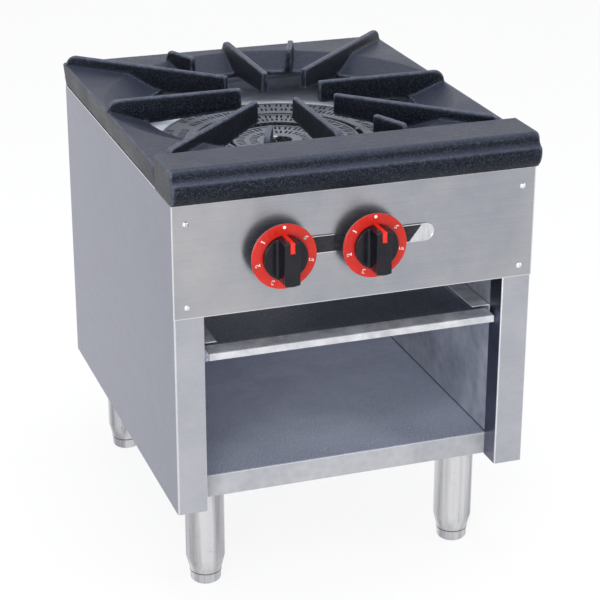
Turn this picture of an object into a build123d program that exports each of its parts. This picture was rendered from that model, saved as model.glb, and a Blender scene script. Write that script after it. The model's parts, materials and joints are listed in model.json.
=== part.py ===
"""Stock pot range: a floor-standing, single-burner gas range on four adjustable legs.

Units are millimetres. +X is to the right as the user faces the control panel, +Y points to the
rear and +Z up. The origin is on the floor, under the middle of the outer box, which runs from the
front of the knob grips to the end of the gas inlet pipe.
"""
import os
from math import atan, cos, degrees, radians, sin, sqrt

from build123d import *

# ---- Cabinet ------------------------------------------------------------------------------------
CABINET_WIDTH = 457.0      # outer width of the sheet-metal cabinet
CABINET_DEPTH = 540.0      # control panel face to rear face of the back panel
CABINET_TOP = 540.0        # top edge of the sheet metal above the floor
CABINET_BOTTOM = 143.0     # lower edge of the side panels above the floor
SHEET = 1.2                # stainless sheet
BEND = 1.5                 # inside radius of the folds
STILE_WIDTH = 38.0         # front face folded from each side panel
STILE_RETURN = 32.0        # fold back beside the opening
REAR_FLANGE = 20.0         # fold inward behind each side panel
TOP_FLANGE = 20.0          # fold inward along the top of each side panel
CORNER_RADIUS = 5.0        # rounded lower corners of the side panels
LINER_LAP = 5.0            # liner's start behind the stile's inner face
LINER_FLANGE = 14.0        # liner's fold against the back panel
EDGE_GAP = 0.3             # gap between two pieces that don't touch but nearly do
CUT = 1.0                  # reach of a cutting solid past the faces it cuts

# ---- Control panel ------------------------------------------------------------------------------
PANEL_HEIGHT = 141.0       # lower edge of the control panel to the cabinet top
PANEL_FLANGE = 14.0        # folds along the panel's top and bottom edges
PANEL_ROUND = 0.72         # outer rounding of those folds
PANEL_SCREW_IN = 16.5      # screws in from the cabinet's sides
PANEL_SCREW_DOWN = 24.0    # upper screws below the cabinet top
PANEL_SCREW_UP = 14.0      # lower screws above the panel's lower edge
SCREW_HEAD_RADIUS = 4.0
SCREW_HEAD_HEIGHT = 2.2
SCREW_RADIUS = 2.0
SCREW_LENGTH = 9.0
HOLE_CLEARANCE = 0.2       # radial, round screw shanks and pipes
BADGE_LEFT = -84.0
BADGE_RIGHT = 96.0
BADGE_HEIGHT = 22.0
BADGE_THICKNESS = 1.6
BADGE_ABOVE_KNOBS = 3.0    # badge's middle above the knob axes
BADGE_INLAY = 0.3          # depth of the inlay's step in the badge face
BADGE_BORDER = 1.2         # raised border round the inlay
BADGE_TIP = 24.0           # bare length at the right end

# ---- Back panel ---------------------------------------------------------------------------------
BACK_FLANGE = 15.0
BACK_SCREW_DROP = 60.0     # upper screws below the cabinet top
VENT_COUNT = 7
VENT_PITCH = 14.0
VENT_LENGTH = 220.0
VENT_WIDTH = 6.0
VENT_HEIGHT = 420.0        # middle of the vents above the floor

# ---- Knobs and valves ---------------------------------------------------------------------------
LEFT_KNOB_X = -99.0
RIGHT_KNOB_X = 14.0
KNOB_DROP = 70.0           # knob axes below the cabinet top
KNOB_STANDOFF = 16.0       # back of the dial in front of the panel
DIAL_RADIUS = 40.0
DIAL_THICKNESS = 3.2
DIAL_RIM = 1.0             # rounding of the dial's edge
HUB_RADIUS = 11.0
HUB_GAP = 3.0              # back of the knob's hub in front of the panel
GRIP_RADIUS = 27.0
GRIP_HEIGHT = 30.0
GRIP_BASE = 7.0
GRIP_WIDTH = 19.0
GRIP_ROUND = 3.0           # rounding where the bar meets its base
GRIP_EDGE = 1.2            # rounding of the bar's front edge
POINTER_WIDTH = 5.5
POINTER_LENGTH = 13.0
POINTER_DEPTH = 2.0
STEM_RADIUS = 4.0
STEM_SOCKET = 18.0         # stem's length inside the knob
STEM_FIT = 0.06            # radial running fit of the stem in its valve
STEM_HOLE_GAP = 2.5        # radial gap round the stem in the panel
VALVE_FRONT = 14.0         # front of the valve bodies behind the panel face
VALVE_LENGTH = 48.0
VALVE_RADIUS = 13.0
VALVE_NECK_RADIUS = 9.5
VALVE_NECK_LENGTH = 12.0
VALVE_STEM_DEPTH = 30.0    # stem's length inside the valve
VALVE_WALL = 4.7           # between the stem's socket and the outlet port
VALVE_PORT_RADIUS = 3.6
NIPPLE_RADIUS = 8.0
ORIFICE_RADIUS = 6.0       # across the hexagon's corners, halved
ORIFICE_HEX_LENGTH = 14.4
ORIFICE_LENGTH = 24.0
ORIFICE_NOSE_RADIUS = 4.8
ORIFICE_BORE = 3.3
ORIFICE_JET = 1.1          # radius of the jet in the nose
ORIFICE_NOSE_WALL = 2.0

# ---- Gas pipework -------------------------------------------------------------------------------
PIPE_RADIUS = 13.335       # 3/4 inch pipe, 26.67 mm outside
PIPE_BORE = 10.45
MANIFOLD_DROP = 33.0       # manifold axis below the valve axes
MANIFOLD_BACK = 46.0       # manifold axis behind the panel face
MANIFOLD_LEFT = -140.0
INLET_IN = 26.7            # inlet pipe's axis in from the right liner
ELBOW_RADIUS = 17.0
ELBOW_REACH = 33.0         # from the elbow's corner to each mouth
ELBOW_SOCKET = 11.0        # length of pipe inside each mouth
INLET_REACH = 30.0         # inlet pipe's end behind the back panel
THREAD_RADIUS = 13.0       # mean outside radius of the 3/4 inch taper thread
THREAD_LENGTH = 20.0
BRACKET_THICKNESS = 3.0
BRACKET_WIDTH = 26.0
LEFT_BRACKET_X = -128.0
RIGHT_BRACKET_X = 62.0
BRACKET_MARGIN = 9.0       # bracket's edge beyond the pipe
PILOT_VALVE_RADIUS = 7.0
PILOT_VALVE_LENGTH = 22.0
PILOT_VALVE_NECK = 4.0
PILOT_SCREW_RADIUS = 3.9   # adjusting screw under the pilot valve
PILOT_SCREW_REACH = 11.9
PILOT_TUBE_RADIUS = 2.5
PILOT_TUBE_BORE = 1.6
PILOT_BEND = 12.0
INNER_PILOT_X = -6.0
PILOT_HEAD_RADIUS = 3.1
PILOT_HEAD_HEIGHT = 22.0
PILOT_PORT_RADIUS = 1.3
PILOT_ABOVE_BURNER = 1.5

# ---- Burner -------------------------------------------------------------------------------------
BURNER_BACK = 290.0        # burner and grate centre behind the panel face
BURNER_DROP = 26.0         # burner's top below the cabinet top
RING_HEIGHT = 26.0
RING_WALL = 4.0
RING_LID = 4.5
RING_RIM = 1.0             # rims above the ported face
OUTER_RING = (112.0, 158.0)
MIDDLE_RING = (70.0, 105.0)
INNER_RING = (16.0, 62.0)
OUTER_ROWS = (148.0, 129.5)          # radii of the rows of ports
MIDDLE_ROWS = (95.0, 80.0)
INNER_ROWS = (52.0, 35.0)
OUTER_PORT_COUNT = 60
MIDDLE_PORT_COUNT = 40
INNER_PORT_COUNT = 24
CENTRE_PORT_COUNT = 17
OUTER_PADS = (141.0, 261.0, 21.0)    # directions of the blank pads, degrees
INNER_PADS = (90.0, 210.0, 330.0)
PAD_HALF_ANGLE = 5.0
INNER_DROP = 3.0           # smallest ring's top below the other two
PORT_WIDTH = 3.0
PORT_LENGTH = 11.0
PORT_GAP = 5.8             # between the two ports of a pair, centre to centre
WEB_WIDTH = 16.0           # webs that join the two inner rings
WEB_DROP = 8.0             # webs' top below the rings' top
TUBE_RADIUS = 15.0
TUBE_BORE = 11.5
BELL_RADIUS = 23.0
BELL_LENGTH = 16.0
BELL_WALL = 3.0
SHUTTER_THICKNESS = 1.5
SHUTTER_GAP = 2.0          # orifice tip's reach past the shutter
SHUTTER_SLOTS = 4
SUPPORT_OFFSET = 45.0      # burner supports before and behind the centre
SUPPORT_WIDTH = 24.0
SUPPORT_THICKNESS = 3.0
SUPPORT_DROP = 20.0

# ---- Spill pan ----------------------------------------------------------------------------------
SPILL_DROP = 6.0           # pan below the burner's top
SPILL_GAP = 3.0            # gap round the outer ring
SPILL_FLANGE = 14.0        # folded edges
SPILL_FRONT = 40.0         # front edge behind the panel face

# ---- Front rail ---------------------------------------------------------------------------------
RAIL_HEIGHT = 42.5
RAIL_BACK = 64.0           # rear face behind the panel face
RAIL_NOSE = 12.5           # furthest reach in front of the panel face
RAIL_LIP = 12.0            # lip edge in front of the panel face
RAIL_LIP_HEIGHT = 27.0     # lip edge above the cabinet top
RAIL_STEP = 4.0            # top of the cove in front of the panel face
RAIL_COVE = 9.0            # radius of the hollow between the top and the lip
RAIL_ROUND = 6.5           # height of the rounding of the upper front edge
RAIL_ROUND_DEPTH = 10.0
RAIL_FOOT = 3.5            # lower edge in front of the panel face
RAIL_WALL = 8.0
RAIL_OVERHANG = 2.0        # past the cabinet's sides
RAIL_BOLT_X = 150.0
RAIL_BOSS = 24.0
RAIL_EDGE = 1.5
BOLT_RADIUS = 3.0
BOLT_HEAD_RADIUS = 5.5
BOLT_HEAD_HEIGHT = 4.0
BOLT_LENGTH = 16.0

# ---- Top grate ----------------------------------------------------------------------------------
GRATE_REST_GAP = 0.3       # grate above the sheet metal it lies on
GRATE_RAIL_GAP = 0.5
GRATE_OVERHANG = 2.5       # top of the rim past the sides and back of the cabinet
GRATE_DRAFT = 3.0          # rim's lower edge inside its upper edge
RIM_HEIGHT = 30.0
RIM_WALL = 7.0
RIM_CORNER = 6.0
RIM_EDGE = 2.0
DISH_EDGE = 3.0            # dish's edge inside the rim's sides
DISH_SLOPE = 43.0          # radial width of the dish's conical side
DISH_DEPTH = 16.0
LEDGE_WIDTH = 7.0          # flat ledge between the slope and the opening
LEDGE_DEPTH = 7.0          # vertical edge round the opening
BAR_TOP = 45.0             # bars' top above the cabinet top
BAR_WIDTH = 7.5
BAR_FOOT_WIDTH = 10.5
BAR_NOSE = 28.0            # height of the bars' inner ends
BAR_TAIL = 14.0            # length of the slope at the bars' outer ends
BAR_EDGE = 1.2
BAR_SINK = 3.5             # bars' foot below the casting's surface
SIDE_BAR_IN = 53.0
END_BAR_IN = 61.0
SIDE_BAR_EDGE = 0.5        # side bars' ends inside the rim's sides
REAR_BAR_EDGE = 9.0        # rear bar's end inside the rim's rear
STUB_PAST = 5.0            # stubs' ends outside the dish
STUB_ANGLE = 22.5
STUB_TAIL = 5.0

# ---- Drip tray and runners ----------------------------------------------------------------------
TRAY_SIDE_GAP = 6.5        # between the tray's sides and the runners' webs
TRAY_TOP_DROP = 51.0       # top of the tray's front flange below the panel's lower edge
TRAY_LIP = 8.5
TRAY_FLANGE = 25.0
TRAY_FRONT = 6.0           # tray's lip behind the panel face
TRAY_DEPTH = 19.0
TRAY_LENGTH = 470.0
RUNNER_FLANGE = 25.0
RUNNER_SLACK = 0.3         # between the tray's bottom and the runner it slides on
RUNNER_HEADROOM = 3.0      # between the tray's rim and the runner's upper flange
RUNNER_START = 4.0         # runner's front end behind the tray's flange
RUNNER_SCREW_IN = 60.0

# ---- Bottom shelf -------------------------------------------------------------------------------
SHELF_LIP = 30.0           # front lip, from the cabinet's lower edge up to the deck
SHELF_HEM = 12.0
SHELF_FLANGE = 22.0
SHELF_BACK_GAP = 0.5

# ---- Legs and feet ------------------------------------------------------------------------------
LEG_RADIUS = 25.0
LEG_WALL = 1.5
LEG_IN = 57.0              # leg axes in from the cabinet's sides
FRONT_LEG_BACK = 84.0      # leg axes behind the panel face
REAR_LEG_IN = 48.0         # rear leg axes in from the rear face
LEG_CAP = 5.0
LEG_NECK_RADIUS = 20.6     # lower end of the leg's taper
LEG_TAPER = 18.0
LEG_LOWER_BAND = 3.0       # straight band below the taper
LEG_NUT_HEIGHT = 20.0      # threaded insert in the leg's lower end
FOOT_RADIUS = 19.7
FOOT_HEIGHT = 14.7
FOOT_ROUND = 5.0
FOOT_STEM_RADIUS = 6.0
FOOT_STEM_LENGTH = 50.0
FOOT_STEM_FIT = 0.08
FOOT_GAP = 0.3             # between the foot and the leg above it
STUD_RADIUS = 6.0
STUD_LENGTH = 16.0         # above the leg's cap
LEG_PLATE = 78.0
LEG_PLATE_THICKNESS = 3.0
LEG_PLATE_FLANGE = 24.0
NUT_RADIUS = 10.9          # across corners, halved
NUT_HEIGHT = 8.0

# ---- Worked out from the above ------------------------------------------------------------------
KNOB_REACH = KNOB_STANDOFF + DIAL_THICKNESS + GRIP_HEIGHT
FRONT = KNOB_REACH - (KNOB_REACH + CABINET_DEPTH + INLET_REACH) / 2
BACK = FRONT + CABINET_DEPTH
HALF = CABINET_WIDTH / 2
STILE_FRONT = FRONT + SHEET            # stiles lie behind the control panel
STILE_IN = HALF - STILE_WIDTH          # inner face of each stile's return
LINER_IN = STILE_IN + SHEET            # inner face of each liner
INLET_X = LINER_IN - INLET_IN
PANEL_BOTTOM = CABINET_TOP - PANEL_HEIGHT
BACK_INSIDE = BACK - SHEET
CENTRE_Y = FRONT + BURNER_BACK
BURNER_TOP = CABINET_TOP - BURNER_DROP
RING_BOTTOM = BURNER_TOP - RING_HEIGHT
SPILL_TOP = BURNER_TOP - SPILL_DROP
KNOB_Z = CABINET_TOP - KNOB_DROP
DIAL_BACK = FRONT - KNOB_STANDOFF
DIAL_FRONT = DIAL_BACK - DIAL_THICKNESS
GRIP_FRONT = DIAL_FRONT - GRIP_HEIGHT
VALVE_Y = FRONT + VALVE_FRONT
VALVE_BACK = VALVE_Y + VALVE_LENGTH
ORIFICE_BACK = VALVE_BACK + ORIFICE_LENGTH
SHUTTER_Y = ORIFICE_BACK - SHUTTER_GAP - SHUTTER_THICKNESS
TUBE_MOUTH = SHUTTER_Y + SHUTTER_THICKNESS
MANIFOLD_Y = FRONT + MANIFOLD_BACK
MANIFOLD_Z = KNOB_Z - MANIFOLD_DROP
DECK_TOP = CABINET_BOTTOM + SHELF_LIP
SHELF_FRONT = STILE_FRONT + STILE_RETURN
TRAY_RIM = PANEL_BOTTOM - TRAY_TOP_DROP
TRAY_BASE = TRAY_RIM - SHEET - TRAY_DEPTH
TRAY_WALL = FRONT + TRAY_FRONT + TRAY_FLANGE
RUNNER_BASE = TRAY_BASE - RUNNER_SLACK
RUNNER_TOP = TRAY_RIM - SHEET + RUNNER_HEADROOM
RUNNER_Y = TRAY_WALL + RUNNER_START
GRATE_FRONT = FRONT + RAIL_BACK + GRATE_RAIL_GAP
GRATE_BACK = BACK + GRATE_OVERHANG
GRATE_HALF = HALF + GRATE_OVERHANG
GRATE_AHEAD = CENTRE_Y - GRATE_FRONT   # rim's front and rear faces from the burner's centre
GRATE_BEHIND = GRATE_BACK - CENTRE_Y
GRATE_BASE = CABINET_TOP + GRATE_REST_GAP
RIM_TOP = GRATE_BASE + RIM_HEIGHT
GRATE_TOP = CABINET_TOP + BAR_TOP
OUTER_PILOT_X = (MIDDLE_RING[1] + OUTER_RING[0]) / 2
DISH_TOP_RADIUS = GRATE_HALF - DISH_EDGE
DISH_LOW_RADIUS = DISH_TOP_RADIUS - DISH_SLOPE
OPENING_RADIUS = DISH_LOW_RADIUS - LEDGE_WIDTH
SIDE_BAR_OUT = GRATE_HALF - SIDE_BAR_EDGE
REAR_BAR_OUT = GRATE_BEHIND - REAR_BAR_EDGE
STUB_OUT = DISH_TOP_RADIUS + STUB_PAST
TRAY_HALF = LINER_IN - SHEET - TRAY_SIDE_GAP
SCREW_HOLE = SCREW_RADIUS + HOLE_CLEARANCE
BOLT_HOLE = BOLT_RADIUS + HOLE_CLEARANCE
STEM_HOLE = STEM_RADIUS + STEM_HOLE_GAP
PIPE_HOLE = PIPE_RADIUS + HOLE_CLEARANCE
STUD_HOLE = STUD_RADIUS + HOLE_CLEARANCE
LEG_X = HALF - LEG_IN
LEG_TOP = CABINET_BOTTOM
LEG_BASE = FOOT_HEIGHT + FOOT_GAP


# ---- Shape helpers ------------------------------------------------------------------------------
def block(x0, x1, y0, y1, z0, z1):
    """Rectangular block between two corners."""
    middle = Pos((x0 + x1) / 2, (y0 + y1) / 2, (z0 + z1) / 2)
    return middle * Box(x1 - x0, y1 - y0, z1 - z0)


def rod_x(radius, x0, x1, y, z):
    """Cylinder along X."""
    return Pos((x0 + x1) / 2, y, z) * Rot(0, 90, 0) * Cylinder(radius, x1 - x0)


def rod_y(radius, y0, y1, x, z):
    """Cylinder along Y."""
    return Pos(x, (y0 + y1) / 2, z) * Rot(90, 0, 0) * Cylinder(radius, y1 - y0)


def rod_z(radius, z0, z1, x, y):
    """Cylinder along Z."""
    return Pos(x, y, (z0 + z1) / 2) * Cylinder(radius, z1 - z0)


def turned(points):
    """Solid of revolution about Z from (radius, height) points."""
    profile = make_face(Polyline(*[(r, 0, z) for r, z in points], close=True))
    return revolve(profile, Axis.Z, 360)


def folded_section(path, sheet=SHEET, bend=BEND):
    """Section of a folded sheet. The path lists its outer corners, with the metal on its left."""
    outer = [Vector(*point) for point in path]
    normals = []
    for start, end in zip(outer, outer[1:]):
        along = (end - start).normalized()
        normals.append(Vector(-along.Y, along.X))
    inner = [outer[0] + normals[0] * sheet]
    for corner, before, after in zip(outer[1:-1], normals, normals[1:]):
        inner.append(corner + (before + after) * (sheet / (1 + before.dot(after))))
    inner.append(outer[-1] + normals[-1] * sheet)
    face = make_face(Polyline(*outer, *reversed(inner), close=True))
    for corners, radius in ((outer[1:-1], bend + sheet), (inner[1:-1], bend)):
        chosen = [v for v in face.vertices() if min((Vector(v) - c).length for c in corners) < 0.01]
        face = fillet(chosen, radius)
    return face


def along_x(section, x0, x1):
    """Extrude a section drawn in (y, z) from x0 to x1."""
    return extrude(Plane.YZ.offset(x0) * section, x1 - x0)


def along_z(section, z0, z1):
    """Extrude a section drawn in (x, y) from z0 to z1."""
    return extrude(Plane.XY.offset(z0) * section, z1 - z0)


def mirrored(part, is_left):
    """The part itself on the right, or its mirror image on the left."""
    return mirror(part, Plane.YZ) if is_left else part


def hexagon(radius, z0, z1, x, y):
    """Hexagonal prism along Z."""
    return Pos(x, y, z0) * extrude(RegularPolygon(radius, 6), z1 - z0)


# ---- Cabinet ------------------------------------------------------------------------------------
def panel_screw_places():
    """Screw positions (x, z) on the control panel's face."""
    x = HALF - PANEL_SCREW_IN
    upper = CABINET_TOP - PANEL_SCREW_DOWN
    lower = PANEL_BOTTOM + PANEL_SCREW_UP
    return [(-x, upper), (x, upper), (-x, lower), (x, lower)]


def back_screw_places():
    """Screw positions (x, z) on the back panel."""
    x = HALF - REAR_FLANGE / 2
    low = CABINET_BOTTOM + REAR_FLANGE
    high = CABINET_TOP - BACK_SCREW_DROP
    return [(side * x, low + step * (high - low) / 2) for side in (-1, 1) for step in range(3)]


def side_panel(is_left):
    """Side sheet with its front stile, stile return, rear flange and top flange."""
    section = folded_section([
        (STILE_IN, STILE_FRONT + STILE_RETURN),
        (STILE_IN, STILE_FRONT),
        (HALF, STILE_FRONT),
        (HALF, BACK_INSIDE),
        (HALF - REAR_FLANGE, BACK_INSIDE),
    ])
    panel = along_z(section, CABINET_BOTTOM, CABINET_TOP)
    panel += block(HALF - TOP_FLANGE, HALF - SHEET / 2, STILE_FRONT + SHEET / 2,
                   BACK_INSIDE - SHEET / 2, CABINET_TOP - SHEET, CABINET_TOP)
    inside = HALF - SHEET - CUT
    corner = block(inside, HALF + CUT, BACK_INSIDE - CORNER_RADIUS, BACK_INSIDE + CUT,
                   CABINET_BOTTOM - CUT, CABINET_BOTTOM + CORNER_RADIUS)
    corner -= rod_x(CORNER_RADIUS, inside - CUT, HALF + 2 * CUT,
                    BACK_INSIDE - CORNER_RADIUS, CABINET_BOTTOM + CORNER_RADIUS)
    panel -= corner
    for x, z in panel_screw_places():
        if x > 0:
            panel -= rod_y(SCREW_HOLE, STILE_FRONT - CUT, STILE_FRONT + SHEET + CUT, x, z)
    for x, z in back_screw_places():
        if x > 0:
            panel -= rod_y(SCREW_HOLE, BACK_INSIDE - SHEET - CUT, BACK_INSIDE + CUT, x, z)
    return mirrored(panel, is_left)


def liner(is_left):
    """Inner side wall of the cabinet, lapped on the stile's return."""
    section = folded_section([
        (LINER_IN, STILE_FRONT + LINER_LAP),
        (LINER_IN, BACK_INSIDE),
        (LINER_IN + LINER_FLANGE, BACK_INSIDE),
    ][::-1])
    wall = along_z(section, CABINET_BOTTOM + LEG_PLATE_THICKNESS, SPILL_TOP - SHEET)
    for y, z in runner_screw_places():
        wall -= rod_x(SCREW_HOLE, LINER_IN - CUT, LINER_IN + SHEET + CUT, y, z)
    return mirrored(wall, is_left)


def control_panel():
    """Front panel over the stiles, with folded top and bottom edges and the stem holes."""
    flange_half = STILE_IN - EDGE_GAP
    panel = block(-HALF, HALF, FRONT, FRONT + SHEET, PANEL_BOTTOM, CABINET_TOP)
    for z in (PANEL_BOTTOM, CABINET_TOP - SHEET):
        panel += block(-flange_half, flange_half, FRONT, FRONT + PANEL_FLANGE, z, z + SHEET)
    for z in (PANEL_BOTTOM, CABINET_TOP):
        edges = panel.edges().filter_by(Axis.X).group_by(Axis.Y)[0]
        edges = [e for e in edges if abs(e.center().Z - z) < 0.01]
        panel = fillet(edges, PANEL_ROUND)
    for x, z in panel_screw_places():
        panel -= rod_y(SCREW_HOLE, FRONT - CUT, FRONT + SHEET + CUT, x, z)
    for x in (LEFT_KNOB_X, RIGHT_KNOB_X):
        panel -= rod_y(STEM_HOLE, FRONT - CUT, FRONT + SHEET + CUT, x, KNOB_Z)
    for x in (-RAIL_BOLT_X, RAIL_BOLT_X):
        panel -= rod_z(BOLT_HOLE, CABINET_TOP - SHEET - CUT, CABINET_TOP + CUT,
                       x, FRONT + PANEL_FLANGE / 2)
    return panel


def badge_plate():
    """Plain round-ended plate with a sunk inlay field and a bare right tip."""
    middle_x = (BADGE_LEFT + BADGE_RIGHT) / 2
    z = KNOB_Z + BADGE_ABOVE_KNOBS
    length = BADGE_RIGHT - BADGE_LEFT
    face = Plane(origin=(middle_x, FRONT, z), x_dir=(1, 0, 0), z_dir=(0, -1, 0))
    plate = extrude(face * SlotOverall(length, BADGE_HEIGHT), BADGE_THICKNESS)
    half = BADGE_HEIGHT / 2 - BADGE_BORDER
    left = -length / 2 + BADGE_HEIGHT / 2
    right = length / 2 - BADGE_TIP
    field = make_face(Polyline((left, half), (right - half, half), (right + half, -half),
                               (left, -half), close=True))
    field += Pos(left, 0) * Circle(half)
    plate -= extrude(face.offset(BADGE_THICKNESS - BADGE_INLAY) * field, BADGE_INLAY * 2)
    for x in (LEFT_KNOB_X, RIGHT_KNOB_X):
        plate -= rod_y(STEM_HOLE, FRONT - BADGE_THICKNESS - CUT, FRONT + CUT, x, KNOB_Z)
    return plate


def screw(head_at_front=True):
    """Domed screw along Y with its head's seat at the origin, the head towards -Y."""
    dome_radius = (SCREW_HEAD_RADIUS ** 2 + SCREW_HEAD_HEIGHT ** 2) / (2 * SCREW_HEAD_HEIGHT)
    ball = Pos(0, 0, SCREW_HEAD_HEIGHT - dome_radius) * Sphere(dome_radius)
    head = ball & rod_z(SCREW_HEAD_RADIUS * 2, 0, SCREW_HEAD_HEIGHT * 2, 0, 0)
    body = head + rod_z(SCREW_RADIUS, -SCREW_LENGTH, SCREW_HEAD_HEIGHT / 2, 0, 0)
    turn = Rot(90, 0, 0) if head_at_front else Rot(-90, 0, 0)
    return turn * body


def panel_screws():
    return Compound(children=[Pos(x, FRONT, z) * screw() for x, z in panel_screw_places()])


def back_panel_screws():
    return Compound(children=[Pos(x, BACK, z) * screw(False) for x, z in back_screw_places()])


def back_panel():
    """Rear sheet with a top flange, vent slots and the inlet hole."""
    panel = block(-HALF + SHEET, HALF - SHEET, BACK_INSIDE, BACK, CABINET_BOTTOM, CABINET_TOP)
    flange_half = HALF - TOP_FLANGE - EDGE_GAP
    panel += block(-flange_half, flange_half, BACK - BACK_FLANGE, BACK,
                   CABINET_TOP - SHEET, CABINET_TOP)
    slot_face = Plane(origin=(0, BACK, 0), x_dir=(1, 0, 0), z_dir=(0, -1, 0))
    for index in range(VENT_COUNT):
        z = VENT_HEIGHT + (index - (VENT_COUNT - 1) / 2) * VENT_PITCH
        slot = Pos(0, z) * SlotOverall(VENT_LENGTH, VENT_WIDTH)
        panel -= extrude(slot_face * slot, SHEET + CUT)
    panel -= rod_y(PIPE_HOLE, BACK_INSIDE - CUT, BACK + CUT, INLET_X, MANIFOLD_Z)
    for x, z in back_screw_places():
        panel -= rod_y(SCREW_HOLE, BACK_INSIDE - CUT, BACK + CUT, x, z)
    return panel


def bottom_shelf():
    """Storage deck with a folded front lip and hem, and side and rear flanges."""
    back = BACK_INSIDE - SHELF_BACK_GAP
    section = folded_section([
        (back, DECK_TOP - SHELF_FLANGE),
        (back, DECK_TOP),
        (SHELF_FRONT, DECK_TOP),
        (SHELF_FRONT, CABINET_BOTTOM),
        (SHELF_FRONT + SHELF_HEM, CABINET_BOTTOM),
    ])
    shelf = along_x(section, -LINER_IN, LINER_IN)
    for side in (-1, 1):
        inner = side * (LINER_IN - SHEET)
        outer = side * LINER_IN
        shelf += block(min(inner, outer), max(inner, outer), SHELF_FRONT + SHEET + BEND + SHELF_HEM,
                       back - SHEET - BEND, DECK_TOP - SHELF_FLANGE, DECK_TOP - SHEET / 2)
    return shelf


# ---- Tray and its runners -----------------------------------------------------------------------
def runner_screw_places():
    """Screw positions (y, z) of each runner on its liner."""
    z = (RUNNER_BASE + RUNNER_TOP) / 2
    first = RUNNER_Y + RUNNER_SCREW_IN
    last = BACK_INSIDE - RUNNER_SCREW_IN
    return [(first, z), ((first + last) / 2, z), (last, z)]


def tray_runner(is_left):
    """C-channel that carries one side of the drip tray."""
    path = [
        (LINER_IN - RUNNER_FLANGE, RUNNER_BASE - SHEET),
        (LINER_IN, RUNNER_BASE - SHEET),
        (LINER_IN, RUNNER_TOP + SHEET),
        (LINER_IN - RUNNER_FLANGE, RUNNER_TOP + SHEET),
    ]
    length = BACK_INSIDE - RUNNER_Y
    plane = Plane(origin=(0, BACK_INSIDE, 0), x_dir=(1, 0, 0), z_dir=(0, -1, 0))
    runner = extrude(plane * folded_section(path), length)
    for y, z in runner_screw_places():
        runner -= rod_x(SCREW_HOLE, LINER_IN - SHEET - CUT, LINER_IN + CUT, y, z)
    return mirrored(runner, is_left)


def runner_screws():
    """Low-headed screws through each runner's web and the liner."""
    screws = []
    head = SCREW_HEAD_HEIGHT / 2
    for y, z in runner_screw_places():
        x = LINER_IN - SHEET
        fixing = rod_x(SCREW_HEAD_RADIUS, x - head, x, y, z)
        fixing += rod_x(SCREW_RADIUS, x - head, x + SCREW_LENGTH, y, z)
        screws += [fixing, mirror(fixing, Plane.YZ)]
    return Compound(children=screws)


def drip_tray():
    """Shallow pan with a folded front flange and lip that serve as its pull."""
    half = TRAY_HALF
    front = FRONT + TRAY_FRONT
    rear = TRAY_WALL + TRAY_LENGTH
    top = TRAY_RIM
    pan = block(-half, half, TRAY_WALL, rear, TRAY_BASE, top - SHEET)
    pan = fillet(pan.edges().filter_by(Axis.Z), BEND + SHEET)
    pan = fillet(pan.edges().group_by(Axis.Z)[0], BEND + SHEET)
    inside = block(-half + SHEET, half - SHEET, TRAY_WALL + SHEET, rear - SHEET,
                   TRAY_BASE + SHEET, top + CUT)
    inside = fillet(inside.edges().filter_by(Axis.Z), BEND)
    inside = fillet(inside.edges().group_by(Axis.Z)[0], BEND)
    tray = pan - inside
    lip = along_x(folded_section([
        (TRAY_WALL + SHEET, top),
        (front, top),
        (front, top - TRAY_LIP),
    ]), -half, half)
    return tray + lip


# ---- Castings -----------------------------------------------------------------------------------
def front_rail():
    """Bullnose casting across the front, hollow underneath, with two bolt bosses."""
    half = HALF + RAIL_OVERHANG
    z = CABINET_TOP
    top = z + RAIL_HEIGHT
    back = FRONT + RAIL_BACK
    step = FRONT - RAIL_STEP
    lip = (FRONT - RAIL_LIP, z + RAIL_LIP_HEIGHT)
    nose = (FRONT - RAIL_NOSE, z + RAIL_LIP_HEIGHT / 2)
    foot = (FRONT - RAIL_FOOT, z)
    bend = RAIL_COVE * (1 - cos(radians(45)))
    cove_top = (step, top - RAIL_ROUND)
    cove_middle = (step - bend, z + RAIL_LIP_HEIGHT + bend)
    round_start = (step + RAIL_ROUND_DEPTH, top)
    round_middle = (step + RAIL_ROUND_DEPTH * (1 - cos(radians(45))),
                    top - RAIL_ROUND * (1 - sin(radians(45))))
    outline = Polyline(foot, (back, z), (back, top), round_start)
    outline += ThreePointArc(round_start, round_middle, cove_top)
    outline += ThreePointArc(cove_top, cove_middle, lip)
    outline += ThreePointArc(lip, nose, foot)
    body = along_x(make_face(outline), -half, half)
    ends = body.faces().filter_by(Axis.X).sort_by(Axis.X)
    end_edges = ends[0].edges() + ends[-1].edges()
    body = chamfer([e for e in end_edges if e.center().Z > z + RAIL_EDGE / 2], RAIL_EDGE)
    hollow = block(-half + RAIL_WALL, half - RAIL_WALL, FRONT + RAIL_WALL / 2, back - RAIL_WALL,
                   z - CUT, top - RAIL_WALL)
    for x in (-RAIL_BOLT_X, RAIL_BOLT_X):
        hollow -= block(x - RAIL_BOSS / 2, x + RAIL_BOSS / 2, FRONT, FRONT + RAIL_BOSS,
                        z - 2 * CUT, top)
    body -= hollow
    for x in (-RAIL_BOLT_X, RAIL_BOLT_X):
        body -= rod_z(BOLT_HOLE, z - CUT, z + BOLT_LENGTH, x, FRONT + PANEL_FLANGE / 2)
    return body


def rail_bolts():
    """Bolts up through the control panel's top flange into the rail's bosses."""
    bolts = []
    seat = CABINET_TOP - SHEET
    y = FRONT + PANEL_FLANGE / 2
    for x in (-RAIL_BOLT_X, RAIL_BOLT_X):
        bolt = hexagon(BOLT_HEAD_RADIUS, seat - BOLT_HEAD_HEIGHT, seat, x, y)
        bolt += rod_z(BOLT_RADIUS, seat - BOLT_HEAD_HEIGHT / 2,
                      CABINET_TOP + BOLT_LENGTH - EDGE_GAP, x, y)
        bolts.append(bolt)
    return Compound(children=bolts)


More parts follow.
